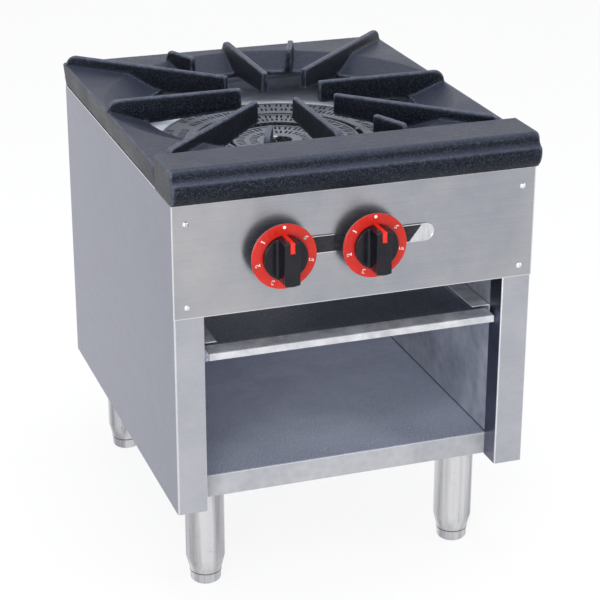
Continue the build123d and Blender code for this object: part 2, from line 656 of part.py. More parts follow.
def grate_bar(inner, outer, tail=BAR_TAIL):
    """Radial bar along +X: flat top, underside rising towards its nose, foot sunk in the dish."""
    top = GRATE_TOP
    nose = max(GRATE_TOP - BAR_NOSE, RIM_TOP - DISH_DEPTH)
    ledge = RIM_TOP - DISH_DEPTH - BAR_SINK
    foot = RIM_TOP - BAR_SINK
    outline = [(inner, top), (inner, nose), (OPENING_RADIUS, ledge), (DISH_LOW_RADIUS, ledge)]
    if inner >= OPENING_RADIUS:
        outline = [(inner, top), (inner, ledge), (DISH_LOW_RADIUS, ledge)]
    if outer > DISH_TOP_RADIUS:
        outline.append((DISH_TOP_RADIUS, foot))
    outline += [(outer, foot), (outer, RIM_TOP)]
    shoulder = (outer - tail * (1 - cos(radians(45))),
                RIM_TOP + (top - RIM_TOP) * sin(radians(45)))
    edge = ThreePointArc((outer, RIM_TOP), shoulder, (outer - tail, top))
    edge += Polyline((outer - tail, top), *outline)
    side = Plane(origin=(0, BAR_FOOT_WIDTH, 0), x_dir=(1, 0, 0), z_dir=(0, -1, 0))
    bar = extrude(side * make_face(edge), 2 * BAR_FOOT_WIDTH)
    section = make_face(Polyline((-BAR_WIDTH / 2, top), (BAR_WIDTH / 2, top),
                                 (BAR_FOOT_WIDTH / 2, ledge), (-BAR_FOOT_WIDTH / 2, ledge),
                                 close=True))
    bar &= along_x(section, inner, outer)
    ridge = bar.edges().filter_by(Axis.X).group_by(Axis.Z)[-1]
    return fillet(ridge, BAR_EDGE)


def top_grate():
    """Lift-off casting: rim with a sunk dish, eight radial bars and four stubs."""
    plan = RectangleRounded(2 * GRATE_HALF, GRATE_BACK - GRATE_FRONT, RIM_CORNER)
    plan = Plane(origin=(0, (GRATE_FRONT + GRATE_BACK) / 2, RIM_TOP), z_dir=(0, 0, -1)) * plan
    rim = extrude(plan, RIM_HEIGHT, taper=degrees(atan(GRATE_DRAFT / RIM_HEIGHT)))
    rim = fillet(rim.edges().group_by(Axis.Z)[-1], RIM_EDGE)
    middle = Pos(0, CENTRE_Y, 0)
    ledge_top = RIM_TOP - DISH_DEPTH
    ledge_low = ledge_top - LEDGE_DEPTH
    under = RIM_TOP - RIM_WALL
    slope = (DISH_TOP_RADIUS - DISH_LOW_RADIUS) / DISH_DEPTH
    dish = turned([(0, GRATE_BASE - RIM_WALL), (OPENING_RADIUS, GRATE_BASE - RIM_WALL),
                   (OPENING_RADIUS, ledge_top), (DISH_LOW_RADIUS, ledge_top),
                   (DISH_TOP_RADIUS + slope * CUT, RIM_TOP + CUT), (0, RIM_TOP + CUT)])
    bowl_low = DISH_LOW_RADIUS + RIM_WALL / 2
    bowl_high = bowl_low + slope * (under + CUT - ledge_low)
    bowl = turned([(OPENING_RADIUS - 2 * CUT, ledge_low), (bowl_low, ledge_low),
                   (bowl_high, under + CUT), (OPENING_RADIUS - 2 * CUT, under + CUT)])
    wall = RIM_WALL + GRATE_DRAFT
    hollow = block(-GRATE_HALF + wall, GRATE_HALF - wall, GRATE_FRONT + wall, GRATE_BACK - wall,
                   GRATE_BASE - CUT, under)
    hollow -= rod_z(OPENING_RADIUS - CUT, GRATE_BASE - 2 * CUT, RIM_TOP, 0, CENTRE_Y)
    grate = rim - middle * dish - (hollow - middle * bowl)
    front_out = GRATE_AHEAD - EDGE_GAP
    for angle, inner, outer in ((0, SIDE_BAR_IN, SIDE_BAR_OUT), (180, SIDE_BAR_IN, SIDE_BAR_OUT),
                                (90, END_BAR_IN, REAR_BAR_OUT), (270, END_BAR_IN, front_out)):
        grate += middle * Rot(0, 0, angle) * grate_bar(inner, outer)
    reach = sqrt(SIDE_BAR_IN ** 2 + END_BAR_IN ** 2)
    for angle, x, y in ((45, 1, 1), (135, -1, 1), (225, -1, -1), (315, 1, -1)):
        room = GRATE_HALF - SIDE_BAR_IN if y > 0 else GRATE_AHEAD - END_BAR_IN
        length = room * sqrt(2) - BAR_FOOT_WIDTH / 2
        corner_bar = Pos(-reach, 0, 0) * grate_bar(reach, reach + length)
        grate += middle * Pos(x * SIDE_BAR_IN, y * END_BAR_IN, 0) * Rot(0, 0, angle) * corner_bar
    stub = grate_bar(OPENING_RADIUS, STUB_OUT, STUB_TAIL)
    for base in (90, 270):
        for turn in (-STUB_ANGLE, STUB_ANGLE):
            grate += middle * Rot(0, 0, base + turn) * stub
    return grate


# ---- Burner -------------------------------------------------------------------------------------
def is_blank(angle, pads):
    """True where a direction falls on one of a ring's blank pads."""
    return any(abs((angle - pad + 180) % 360 - 180) < PAD_HALF_ANGLE for pad in pads)


def port_outline(radius, direction):
    """Outline of one rectangular port, its long side along the radius."""
    corners = []
    for u, v in ((1, 1), (-1, 1), (-1, -1), (1, -1)):
        along = radius + u * PORT_LENGTH / 2
        across = v * PORT_WIDTH / 2
        corners.append((along * cos(direction) - across * sin(direction),
                        along * sin(direction) + across * cos(direction)))
    return Wire(Polyline(*corners, close=True).edges())


def ring_lid(radii, rows, pads, top):
    """Annular lid with pairs of rectangular ports in rows, every second row staggered."""
    ports = []
    for row, (radius, count) in enumerate(rows):
        for index in range(count):
            angle = 360 * (index + 0.5 * (row % 2)) / count
            if is_blank(angle, pads):
                continue
            turn = degrees(PORT_GAP / 2 / radius)
            for side in (-1, 1):
                ports.append(port_outline(radius, radians(angle + side * turn)))
    inner, outer = radii
    hole = Wire(Edge.make_circle(inner + RING_WALL / 2))
    border = Wire(Edge.make_circle(outer - RING_WALL / 2))
    face = Face(border, [hole] + ports)
    lid = extrude(face, RING_LID, dir=(0, 0, 1))
    return Pos(0, CENTRE_Y, top - RING_RIM - RING_LID) * lid


def ring_channel(radii, top):
    """Open-topped annular channel whose walls end in narrow bevelled rims."""
    inner, outer = radii
    bevel = RING_RIM
    low = RING_BOTTOM
    outside = turned([(inner, low), (outer, low), (outer, top - bevel), (outer - bevel, top),
                      (inner + bevel, top), (inner, top - bevel)])
    inside = turned([(inner + RING_WALL, low + RING_WALL), (outer - RING_WALL, low + RING_WALL),
                     (outer - RING_WALL, top + CUT), (inner + RING_WALL, top + CUT)])
    return Pos(0, CENTRE_Y, 0) * (outside - inside)


def burner_ring(radii, rows, pads, top=BURNER_TOP):
    """Hollow ring: a channel with its ported lid."""
    return ring_channel(radii, top) + ring_lid(radii, rows, pads, top)


def feed_place(knob_x, radii):
    """Point (x, y) under a ring's front half, straight behind its knob."""
    middle = (radii[0] + radii[1]) / 2
    return knob_x, CENTRE_Y - sqrt(middle ** 2 - knob_x ** 2)


def outer_burner():
    x, y = feed_place(LEFT_KNOB_X, OUTER_RING)
    rows = [(radius, OUTER_PORT_COUNT) for radius in OUTER_ROWS]
    ring = burner_ring(OUTER_RING, rows, OUTER_PADS)
    return ring - rod_z(TUBE_BORE, RING_BOTTOM - CUT, RING_BOTTOM + RING_WALL + CUT, x, y)


def inner_burner():
    """Two inner rings in one casting, joined by webs."""
    middle_rows = [(radius, MIDDLE_PORT_COUNT) for radius in MIDDLE_ROWS]
    inner_rows = zip(INNER_ROWS, (INNER_PORT_COUNT, CENTRE_PORT_COUNT))
    casting = burner_ring(MIDDLE_RING, middle_rows, ())
    casting += burner_ring(INNER_RING, inner_rows, INNER_PADS, BURNER_TOP - INNER_DROP)
    start = INNER_RING[1] - RING_WALL / 2
    end = MIDDLE_RING[0] + RING_WALL / 2
    for angle in INNER_PADS:
        web = block(start, end, -WEB_WIDTH / 2, WEB_WIDTH / 2, RING_BOTTOM, BURNER_TOP - WEB_DROP)
        casting += Pos(0, CENTRE_Y, 0) * Rot(0, 0, angle) * web
    x, y = feed_place(RIGHT_KNOB_X, MIDDLE_RING)
    return casting - rod_z(TUBE_BORE, RING_BOTTOM - CUT, RING_BOTTOM + RING_WALL + CUT, x, y)


def mixing_tube(knob_x, radii):
    """Bell-mouthed tube from behind the orifice, turned up under its burner ring."""
    x, y = feed_place(knob_x, radii)
    bell = rod_y(BELL_RADIUS, TUBE_MOUTH, TUBE_MOUTH + BELL_LENGTH, x, KNOB_Z)
    rear_edge = bell.edges().filter_by(GeomType.CIRCLE).sort_by(Axis.Y)[-1]
    bell = chamfer(rear_edge, (BELL_RADIUS - TUBE_RADIUS) * 0.9)
    tube = bell + rod_y(TUBE_RADIUS, TUBE_MOUTH, y, x, KNOB_Z)
    tube += Pos(x, y, KNOB_Z) * Sphere(TUBE_RADIUS)
    tube += rod_z(TUBE_RADIUS, KNOB_Z, RING_BOTTOM, x, y)
    bore = rod_y(TUBE_BORE, TUBE_MOUTH - CUT, y, x, KNOB_Z)
    bore += Pos(x, y, KNOB_Z) * Sphere(TUBE_BORE)
    bore += rod_z(TUBE_BORE, KNOB_Z, RING_BOTTOM + CUT, x, y)
    flare_end = TUBE_MOUTH + BELL_LENGTH / 3
    flare = rod_y(BELL_RADIUS - BELL_WALL, TUBE_MOUTH - CUT, flare_end, x, KNOB_Z)
    return tube - bore - flare


def air_shutter(x):
    """Disc over a mixing tube's mouth with air slots round the orifice hole."""
    y = SHUTTER_Y
    disc = rod_y(BELL_RADIUS, y, y + SHUTTER_THICKNESS, x, KNOB_Z)
    back = y + SHUTTER_THICKNESS
    disc -= rod_y(ORIFICE_RADIUS + HOLE_CLEARANCE, y - CUT, back + CUT, x, KNOB_Z)
    middle = (ORIFICE_RADIUS + BELL_RADIUS) / 2
    for index in range(SHUTTER_SLOTS):
        angle = radians(45 + 360 * index / SHUTTER_SLOTS)
        disc -= rod_y((BELL_RADIUS - ORIFICE_RADIUS) / 4, y - CUT, back + CUT,
                      x + middle * cos(angle), KNOB_Z + middle * sin(angle))
    return disc


def burner_support(offset, leg_towards):
    """Angle bar across the cabinet that the burner castings stand on."""
    y = CENTRE_Y + offset
    top = RING_BOTTOM
    low = top - SUPPORT_DROP
    back_edge = y + leg_towards * SUPPORT_WIDTH / 2
    bar = block(-LINER_IN, LINER_IN, y - SUPPORT_WIDTH / 2, y + SUPPORT_WIDTH / 2,
                top - SUPPORT_THICKNESS, top)
    leg = sorted((back_edge, back_edge - leg_towards * SUPPORT_THICKNESS))
    bar += block(-LINER_IN, LINER_IN, leg[0], leg[1], low, top)
    for side in (-1, 1):
        tab = sorted((side * LINER_IN, side * (LINER_IN - SUPPORT_THICKNESS)))
        bar += block(tab[0], tab[1], y - SUPPORT_WIDTH / 2, y + SUPPORT_WIDTH / 2, low, top)
    return bar


def spill_pan():
    """Sheet round the burner with its edges folded up, resting on the liners."""
    half = HALF - SHEET
    front = FRONT + SPILL_FRONT
    back = BACK_INSIDE - SHEET
    pan = block(-half, half, front, back, SPILL_TOP - SHEET, SPILL_TOP + SPILL_FLANGE)
    pan = fillet(pan.edges().filter_by(Axis.Z), BEND + SHEET)
    pan = fillet(pan.edges().group_by(Axis.Z)[0], BEND + SHEET)
    inside = block(-half + SHEET, half - SHEET, front + SHEET, back - SHEET,
                   SPILL_TOP, SPILL_TOP + SPILL_FLANGE + CUT)
    inside = fillet(inside.edges().filter_by(Axis.Z), BEND)
    inside = fillet(inside.edges().group_by(Axis.Z)[0], BEND)
    hole = rod_z(OUTER_RING[1] + SPILL_GAP, SPILL_TOP - SHEET - CUT, SPILL_TOP + CUT, 0, CENTRE_Y)
    return pan - inside - hole


# ---- Gas pipework -------------------------------------------------------------------------------
def gas_manifold():
    """Pipe across the front with a closed left end and a boss under each valve."""
    end = INLET_X - ELBOW_REACH + ELBOW_SOCKET
    pipe = rod_x(PIPE_RADIUS, MANIFOLD_LEFT, end, MANIFOLD_Y, MANIFOLD_Z)
    wall = PIPE_RADIUS - PIPE_BORE
    pipe -= rod_x(PIPE_BORE, MANIFOLD_LEFT + wall, end + CUT, MANIFOLD_Y, MANIFOLD_Z)
    for x in (LEFT_KNOB_X, RIGHT_KNOB_X):
        pipe -= rod_z(NIPPLE_RADIUS, MANIFOLD_Z, MANIFOLD_Z + PIPE_RADIUS + CUT, x, MANIFOLD_Y)
    for x in (INNER_PILOT_X, OUTER_PILOT_X):
        pipe -= rod_y(PILOT_VALVE_RADIUS / 2, MANIFOLD_Y, MANIFOLD_Y + PIPE_RADIUS + CUT,
                      x, MANIFOLD_Z)
    return pipe


def elbow_run(radius, length):
    """Quarter bend between two straight mouths of the given length, as a solid of one radius."""
    bend_radius = ELBOW_REACH - length
    x = INLET_X - bend_radius
    y = MANIFOLD_Y + bend_radius
    circle = Plane(origin=(x, MANIFOLD_Y, MANIFOLD_Z), z_dir=(1, 0, 0)) * Circle(radius)
    run = revolve(circle, Axis((x, y, MANIFOLD_Z), (0, 0, 1)), 90)
    run += rod_x(radius, x - length, x, MANIFOLD_Y, MANIFOLD_Z)
    return run + rod_y(radius, y, y + length, INLET_X, MANIFOLD_Z)


def inlet_elbow():
    """Right-angle elbow whose two mouths hold the manifold and the inlet pipe."""
    x = INLET_X - ELBOW_REACH
    y = MANIFOLD_Y + ELBOW_REACH
    elbow = elbow_run(ELBOW_RADIUS, ELBOW_SOCKET) - elbow_run(PIPE_BORE, ELBOW_SOCKET)
    elbow -= rod_x(PIPE_RADIUS, x - CUT, x + ELBOW_SOCKET, MANIFOLD_Y, MANIFOLD_Z)
    return elbow - rod_y(PIPE_RADIUS, y - ELBOW_SOCKET, y + CUT, INLET_X, MANIFOLD_Z)


def inlet_pipe():
    """Pipe from the elbow through the back panel, open at its threaded end."""
    start = MANIFOLD_Y + ELBOW_REACH - ELBOW_SOCKET
    end = BACK + INLET_REACH
    pipe = rod_y(PIPE_RADIUS, start, end - THREAD_LENGTH, INLET_X, MANIFOLD_Z)
    pipe += rod_y(THREAD_RADIUS, end - THREAD_LENGTH - CUT, end, INLET_X, MANIFOLD_Z)
    return pipe - rod_y(PIPE_BORE, start - CUT, end + CUT, INLET_X, MANIFOLD_Z)


def valve_body(x):
    """Burner valve: turned body on a nipple, bored at the front for its stem."""
    neck_end = VALVE_Y + VALVE_NECK_LENGTH
    body = rod_y(VALVE_NECK_RADIUS, VALVE_Y, neck_end, x, KNOB_Z)
    body += rod_y(VALVE_RADIUS, neck_end, VALVE_BACK, x, KNOB_Z)
    body += rod_z(NIPPLE_RADIUS, MANIFOLD_Z + PIPE_BORE, KNOB_Z, x, MANIFOLD_Y)
    socket_end = VALVE_Y + VALVE_STEM_DEPTH + EDGE_GAP
    body -= rod_y(STEM_RADIUS + STEM_FIT, VALVE_Y - CUT, socket_end, x, KNOB_Z)
    return body - rod_y(VALVE_PORT_RADIUS, socket_end + VALVE_WALL, VALVE_BACK + CUT, x, KNOB_Z)


def orifice(x):
    """Hexagonal gas jet on the back of a valve."""
    jet = hexagon(ORIFICE_RADIUS, 0, ORIFICE_HEX_LENGTH, 0, 0)
    jet = Pos(x, VALVE_BACK, KNOB_Z) * Rot(-90, 0, 0) * jet
    jet += rod_y(ORIFICE_NOSE_RADIUS, VALVE_BACK, ORIFICE_BACK, x, KNOB_Z)
    jet -= rod_y(ORIFICE_BORE, VALVE_BACK - CUT, ORIFICE_BACK - ORIFICE_NOSE_WALL, x, KNOB_Z)
    return jet - rod_y(ORIFICE_JET, VALVE_BACK, ORIFICE_BACK + CUT, x, KNOB_Z)


def manifold_brackets():
    """Plates that hang the manifold from the control panel's back."""
    brackets = []
    low = MANIFOLD_Z - PIPE_RADIUS - BRACKET_MARGIN
    high = MANIFOLD_Z + PIPE_RADIUS + BRACKET_MARGIN
    front = FRONT + SHEET
    rear = MANIFOLD_Y + PIPE_RADIUS + BRACKET_MARGIN
    for x in (LEFT_BRACKET_X, RIGHT_BRACKET_X):
        end = x + BRACKET_THICKNESS
        bracket = block(x, end, front, rear, low, high)
        bracket += block(x, x + BRACKET_WIDTH, front, front + BRACKET_THICKNESS, low, high)
        brackets.append(bracket - rod_x(PIPE_HOLE, x - CUT, end + CUT, MANIFOLD_Y, MANIFOLD_Z))
    return Compound(children=brackets)


def pilot_start():
    """Y where the pilot valves meet the manifold's rear side."""
    return MANIFOLD_Y + sqrt(PIPE_RADIUS ** 2 - (PILOT_VALVE_RADIUS / 2) ** 2)


def pilot_valve(x):
    """Small adjusting valve on the back of the manifold."""
    start = pilot_start()
    neck_end = start + PILOT_VALVE_NECK
    body = rod_y(PILOT_VALVE_RADIUS / 2, MANIFOLD_Y + PIPE_BORE, neck_end + CUT, x, MANIFOLD_Z)
    body += rod_y(PILOT_VALVE_RADIUS, neck_end, start + PILOT_VALVE_LENGTH, x, MANIFOLD_Z)
    return body + rod_z(PILOT_SCREW_RADIUS, MANIFOLD_Z - PILOT_SCREW_REACH, MANIFOLD_Z,
                        x, start + PILOT_VALVE_LENGTH / 2)


def pilot_tube(x):
    """Small tube back from its valve, then straight up to the pilot burner."""
    start = pilot_start() + PILOT_VALVE_LENGTH
    top = BURNER_TOP + PILOT_ABOVE_BURNER - PILOT_HEAD_HEIGHT
    path = FilletPolyline((x, start, MANIFOLD_Z), (x, CENTRE_Y, MANIFOLD_Z), (x, CENTRE_Y, top),
                          radius=PILOT_BEND)
    end = Plane(origin=(x, start, MANIFOLD_Z), z_dir=(0, 1, 0))
    return sweep(end * (Circle(PILOT_TUBE_RADIUS) - Circle(PILOT_TUBE_BORE)), path)


def pilot_burner(x):
    """Pilot head on the end of its tube, with a small crosswise flame port."""
    top = BURNER_TOP + PILOT_ABOVE_BURNER
    low = top - PILOT_HEAD_HEIGHT
    head = rod_z(PILOT_HEAD_RADIUS, low, top, x, CENTRE_Y)
    head -= rod_z(PILOT_TUBE_BORE, low - CUT, top - PILOT_HEAD_RADIUS, x, CENTRE_Y)
    reach = PILOT_HEAD_RADIUS + CUT
    return head - rod_y(PILOT_PORT_RADIUS, CENTRE_Y - reach, CENTRE_Y + reach,
                        x, top - 2 * PILOT_HEAD_RADIUS)


# ---- Knobs --------------------------------------------------------------------------------------
def dial(x):
    """Round dial behind the grip, with a hub towards the panel."""
    plate = rod_y(DIAL_RADIUS, DIAL_FRONT, DIAL_BACK, x, KNOB_Z)
    plate = fillet(plate.edges().filter_by(GeomType.CIRCLE), DIAL_RIM)
    plate += rod_y(HUB_RADIUS, DIAL_BACK - CUT, FRONT - HUB_GAP, x, KNOB_Z)
    return plate - rod_y(STEM_RADIUS, DIAL_FRONT - CUT, FRONT, x, KNOB_Z)


def pointer_blank(x):
    """Room for the pointer strip: over the grip's top end and along its face."""
    top = KNOB_Z + GRIP_RADIUS
    half = POINTER_WIDTH / 2
    strip = block(x - half, x + half, GRIP_FRONT, GRIP_FRONT + POINTER_DEPTH,
                  top - POINTER_LENGTH, top)
    strip += block(x - half, x + half, GRIP_FRONT, DIAL_FRONT, top - POINTER_DEPTH, top)
    round_end = rod_y(GRIP_RADIUS, GRIP_FRONT, DIAL_FRONT, x, KNOB_Z)
    round_end = fillet(round_end.edges().filter_by(GeomType.CIRCLE).sort_by(Axis.Y)[0], GRIP_EDGE)
    return strip & round_end


def grip(x):
    """Round base with a bar across it, cut from one cylinder."""
    bar_cut = GRIP_HEIGHT - GRIP_BASE
    body = rod_y(GRIP_RADIUS, GRIP_FRONT, DIAL_FRONT, x, KNOB_Z)
    body = fillet(body.edges().filter_by(GeomType.CIRCLE).sort_by(Axis.Y)[0], GRIP_EDGE)
    for side in (-1, 1):
        near = side * GRIP_WIDTH / 2
        far = side * (GRIP_RADIUS + CUT)
        low, high = sorted((near, far))
        scoop = block(x + low, x + high, GRIP_FRONT - CUT, GRIP_FRONT + bar_cut,
                      KNOB_Z - GRIP_RADIUS - CUT, KNOB_Z + GRIP_RADIUS + CUT)
        root = [e for e in scoop.edges().filter_by(Axis.Z)
                if abs(e.center().X - (x + near)) < 0.01 and e.center().Y > GRIP_FRONT]
        body -= fillet(root, GRIP_ROUND)
    body -= rod_y(STEM_RADIUS, DIAL_FRONT - STEM_SOCKET, DIAL_FRONT + CUT, x, KNOB_Z)
    return body - pointer_blank(x)


def stem(x):
    """Valve stem from inside its valve, through the panel, into the knob."""
    return rod_y(STEM_RADIUS, DIAL_FRONT - STEM_SOCKET, VALVE_Y + VALVE_STEM_DEPTH, x, KNOB_Z)


# ---- Legs and feet ------------------------------------------------------------------------------
def leg_places():
    """Leg names and axes."""
    return [
        ("front_left", -LEG_X, FRONT + FRONT_LEG_BACK),
        ("front_right", LEG_X, FRONT + FRONT_LEG_BACK),
        ("rear_left", -LEG_X, BACK - REAR_LEG_IN),
        ("rear_right", LEG_X, BACK - REAR_LEG_IN),
    ]


def leg(x, y):
    """Tube with a tapered lower end, a cap and stud on top and a threaded insert below."""
    band = LEG_BASE + LEG_LOWER_BAND
    insert = LEG_BASE + LEG_NUT_HEIGHT
    outside = turned([(0, LEG_BASE), (LEG_NECK_RADIUS, LEG_BASE), (LEG_NECK_RADIUS, band),
                      (LEG_RADIUS, band + LEG_TAPER), (LEG_RADIUS, LEG_TOP),
                      (STUD_RADIUS, LEG_TOP), (STUD_RADIUS, LEG_TOP + STUD_LENGTH),
                      (0, LEG_TOP + STUD_LENGTH)])
    inside = turned([(0, insert), (LEG_RADIUS - 2 * LEG_WALL, insert),
                     (LEG_RADIUS - LEG_WALL, insert + 2 * LEG_WALL),
                     (LEG_RADIUS - LEG_WALL, LEG_TOP - LEG_CAP), (0, LEG_TOP - LEG_CAP)])
    hole = rod_z(FOOT_STEM_RADIUS + FOOT_STEM_FIT, LEG_BASE - CUT, insert + CUT, 0, 0)
    return Pos(x, y, 0) * (outside - inside - hole)


def foot(x, y):
    """Round foot with a rounded lower edge and a long threaded stem."""
    pad = rod_z(FOOT_RADIUS, 0, FOOT_HEIGHT, 0, 0)
    pad = fillet(pad.edges().filter_by(GeomType.CIRCLE).sort_by(Axis.Z)[0], FOOT_ROUND)
    pad += rod_z(FOOT_STEM_RADIUS, FOOT_HEIGHT - CUT, FOOT_HEIGHT + FOOT_STEM_LENGTH, 0, 0)
    return Pos(x, y, 0) * pad


def leg_plates():
    """Angle plates in the cabinet's bottom corners, against the side panels."""
    plates = []
    top = LEG_TOP + LEG_PLATE_THICKNESS
    for _, x, y in leg_places():
        side = 1 if x > 0 else -1
        wall = side * (HALF - SHEET)
        x0, x1 = sorted((wall, wall - side * LEG_PLATE))
        y0 = max(y - LEG_PLATE / 2, SHELF_FRONT + SHELF_HEM + EDGE_GAP)
        y1 = min(y + LEG_PLATE / 2, BACK_INSIDE - SHEET - EDGE_GAP)
        plate = block(x0, x1, y0, y1, LEG_TOP, top)
        f0, f1 = sorted((wall, wall - side * LEG_PLATE_THICKNESS))
        plate += block(f0, f1, y0, y1, LEG_TOP, LEG_TOP + LEG_PLATE_FLANGE)
        plates.append(plate - rod_z(STUD_HOLE, LEG_TOP - CUT, top + CUT, x, y))
    return Compound(children=plates)


def leg_nuts():
    """Nuts on the legs' studs, above the plates."""
    base = LEG_TOP + LEG_PLATE_THICKNESS
    nuts = []
    for _, x, y in leg_places():
        nut = hexagon(NUT_RADIUS, base, base + NUT_HEIGHT, x, y)
        nuts.append(nut - rod_z(STUD_HOLE, base - CUT, base + NUT_HEIGHT + CUT, x, y))
    return Compound(children=nuts)


# ---- All the pieces -----------------------------------------------------------------------------
pieces = {
    "left_side_panel": side_panel(True),
    "right_side_panel": side_panel(False),
    "left_liner": liner(True),
    "right_liner": liner(False),
    "back_panel": back_panel(),
    "back_panel_screws": back_panel_screws(),
    "control_panel": control_panel(),
    "panel_screws": panel_screws(),
    "badge_plate": badge_plate(),
    "bottom_shelf": bottom_shelf(),
    "left_tray_runner": tray_runner(True),
    "right_tray_runner": tray_runner(False),
    "runner_screws": runner_screws(),
    "drip_tray": drip_tray(),
    "front_rail": front_rail(),
    "rail_bolts": rail_bolts(),
    "top_grate": top_grate(),
    "outer_burner": outer_burner(),
    "inner_burner": inner_burner(),
    "front_burner_support": burner_support(-SUPPORT_OFFSET, -1),
    "rear_burner_support": burner_support(SUPPORT_OFFSET, 1),
    "spill_pan": spill_pan(),
    "left_mixing_tube": mixing_tube(LEFT_KNOB_X, OUTER_RING),
    "right_mixing_tube": mixing_tube(RIGHT_KNOB_X, MIDDLE_RING),
    "gas_manifold": gas_manifold(),
    "manifold_brackets": manifold_brackets(),
    "inlet_elbow": inlet_elbow(),
    "inlet_pipe": inlet_pipe(),
    "inner_pilot_valve": pilot_valve(INNER_PILOT_X),
    "outer_pilot_valve": pilot_valve(OUTER_PILOT_X),
    "inner_pilot_tube": pilot_tube(INNER_PILOT_X),
    "outer_pilot_tube": pilot_tube(OUTER_PILOT_X),
    "inner_pilot_burner": pilot_burner(INNER_PILOT_X),
    "outer_pilot_burner": pilot_burner(OUTER_PILOT_X),
    "leg_plates": leg_plates(),
    "leg_nuts": leg_nuts(),
}
for side, knob_x in (("left", LEFT_KNOB_X), ("right", RIGHT_KNOB_X)):
    pieces[f"{side}_valve_body"] = valve_body(knob_x)
    pieces[f"{side}_orifice"] = orifice(knob_x)
    pieces[f"{side}_air_shutter"] = air_shutter(knob_x)
    pieces[f"{side}_dial"] = dial(knob_x)
    pieces[f"{side}_grip"] = grip(knob_x)
    pieces[f"{side}_pointer"] = pointer_blank(knob_x)
    pieces[f"{side}_stem"] = stem(knob_x)
for name, x, y in leg_places():
    pieces[f"{name}_leg"] = leg(x, y)
    pieces[f"{name}_foot"] = foot(x, y)

os.makedirs("parts", exist_ok=True)
for name, piece in pieces.items():
    export_step(piece, f"parts/{name}.step")
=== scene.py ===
"""Stock pot range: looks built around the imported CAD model. Metres, +X right, +Y rear, +Z up."""

import json
from math import cos, pi, radians, sin

import bmesh
import bpy
from mathutils import Matrix, Vector, noise


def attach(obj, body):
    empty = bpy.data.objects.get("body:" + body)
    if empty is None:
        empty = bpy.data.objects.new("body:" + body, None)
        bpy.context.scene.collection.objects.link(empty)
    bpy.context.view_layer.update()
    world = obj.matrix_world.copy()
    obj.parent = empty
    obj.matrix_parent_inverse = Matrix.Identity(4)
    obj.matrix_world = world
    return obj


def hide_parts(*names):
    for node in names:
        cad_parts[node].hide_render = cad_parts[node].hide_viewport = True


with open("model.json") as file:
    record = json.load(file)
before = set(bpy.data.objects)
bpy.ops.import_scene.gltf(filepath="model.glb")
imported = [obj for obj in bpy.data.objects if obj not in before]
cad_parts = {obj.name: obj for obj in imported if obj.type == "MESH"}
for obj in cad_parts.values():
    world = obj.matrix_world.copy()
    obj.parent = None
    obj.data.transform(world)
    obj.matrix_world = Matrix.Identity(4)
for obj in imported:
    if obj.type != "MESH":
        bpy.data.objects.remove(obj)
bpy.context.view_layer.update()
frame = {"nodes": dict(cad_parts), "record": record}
NODES = frame["nodes"]
MM = 0.001
WHITE = (1.0, 1.0, 1.0, 1.0)

MIX_FACTOR, MIX_A, MIX_B, MIX_RESULT = 0, 6, 7, 2  # a Mix node's sockets for colours
BEVEL_SAMPLES = 4
EDGE_FULL = 0.75                                   # cosine of the turn where the edge wear and painted highlight are in full
RIDGE_START, RIDGE_FULL = 0.506, 0.54              # Pointiness where the edge wear and painted highlight start, and are in full
FACES_UP, FACES_OUT = 0.95, 0.35                   # height of the normal where faces keep their lit tone, and where the painted shade is in full
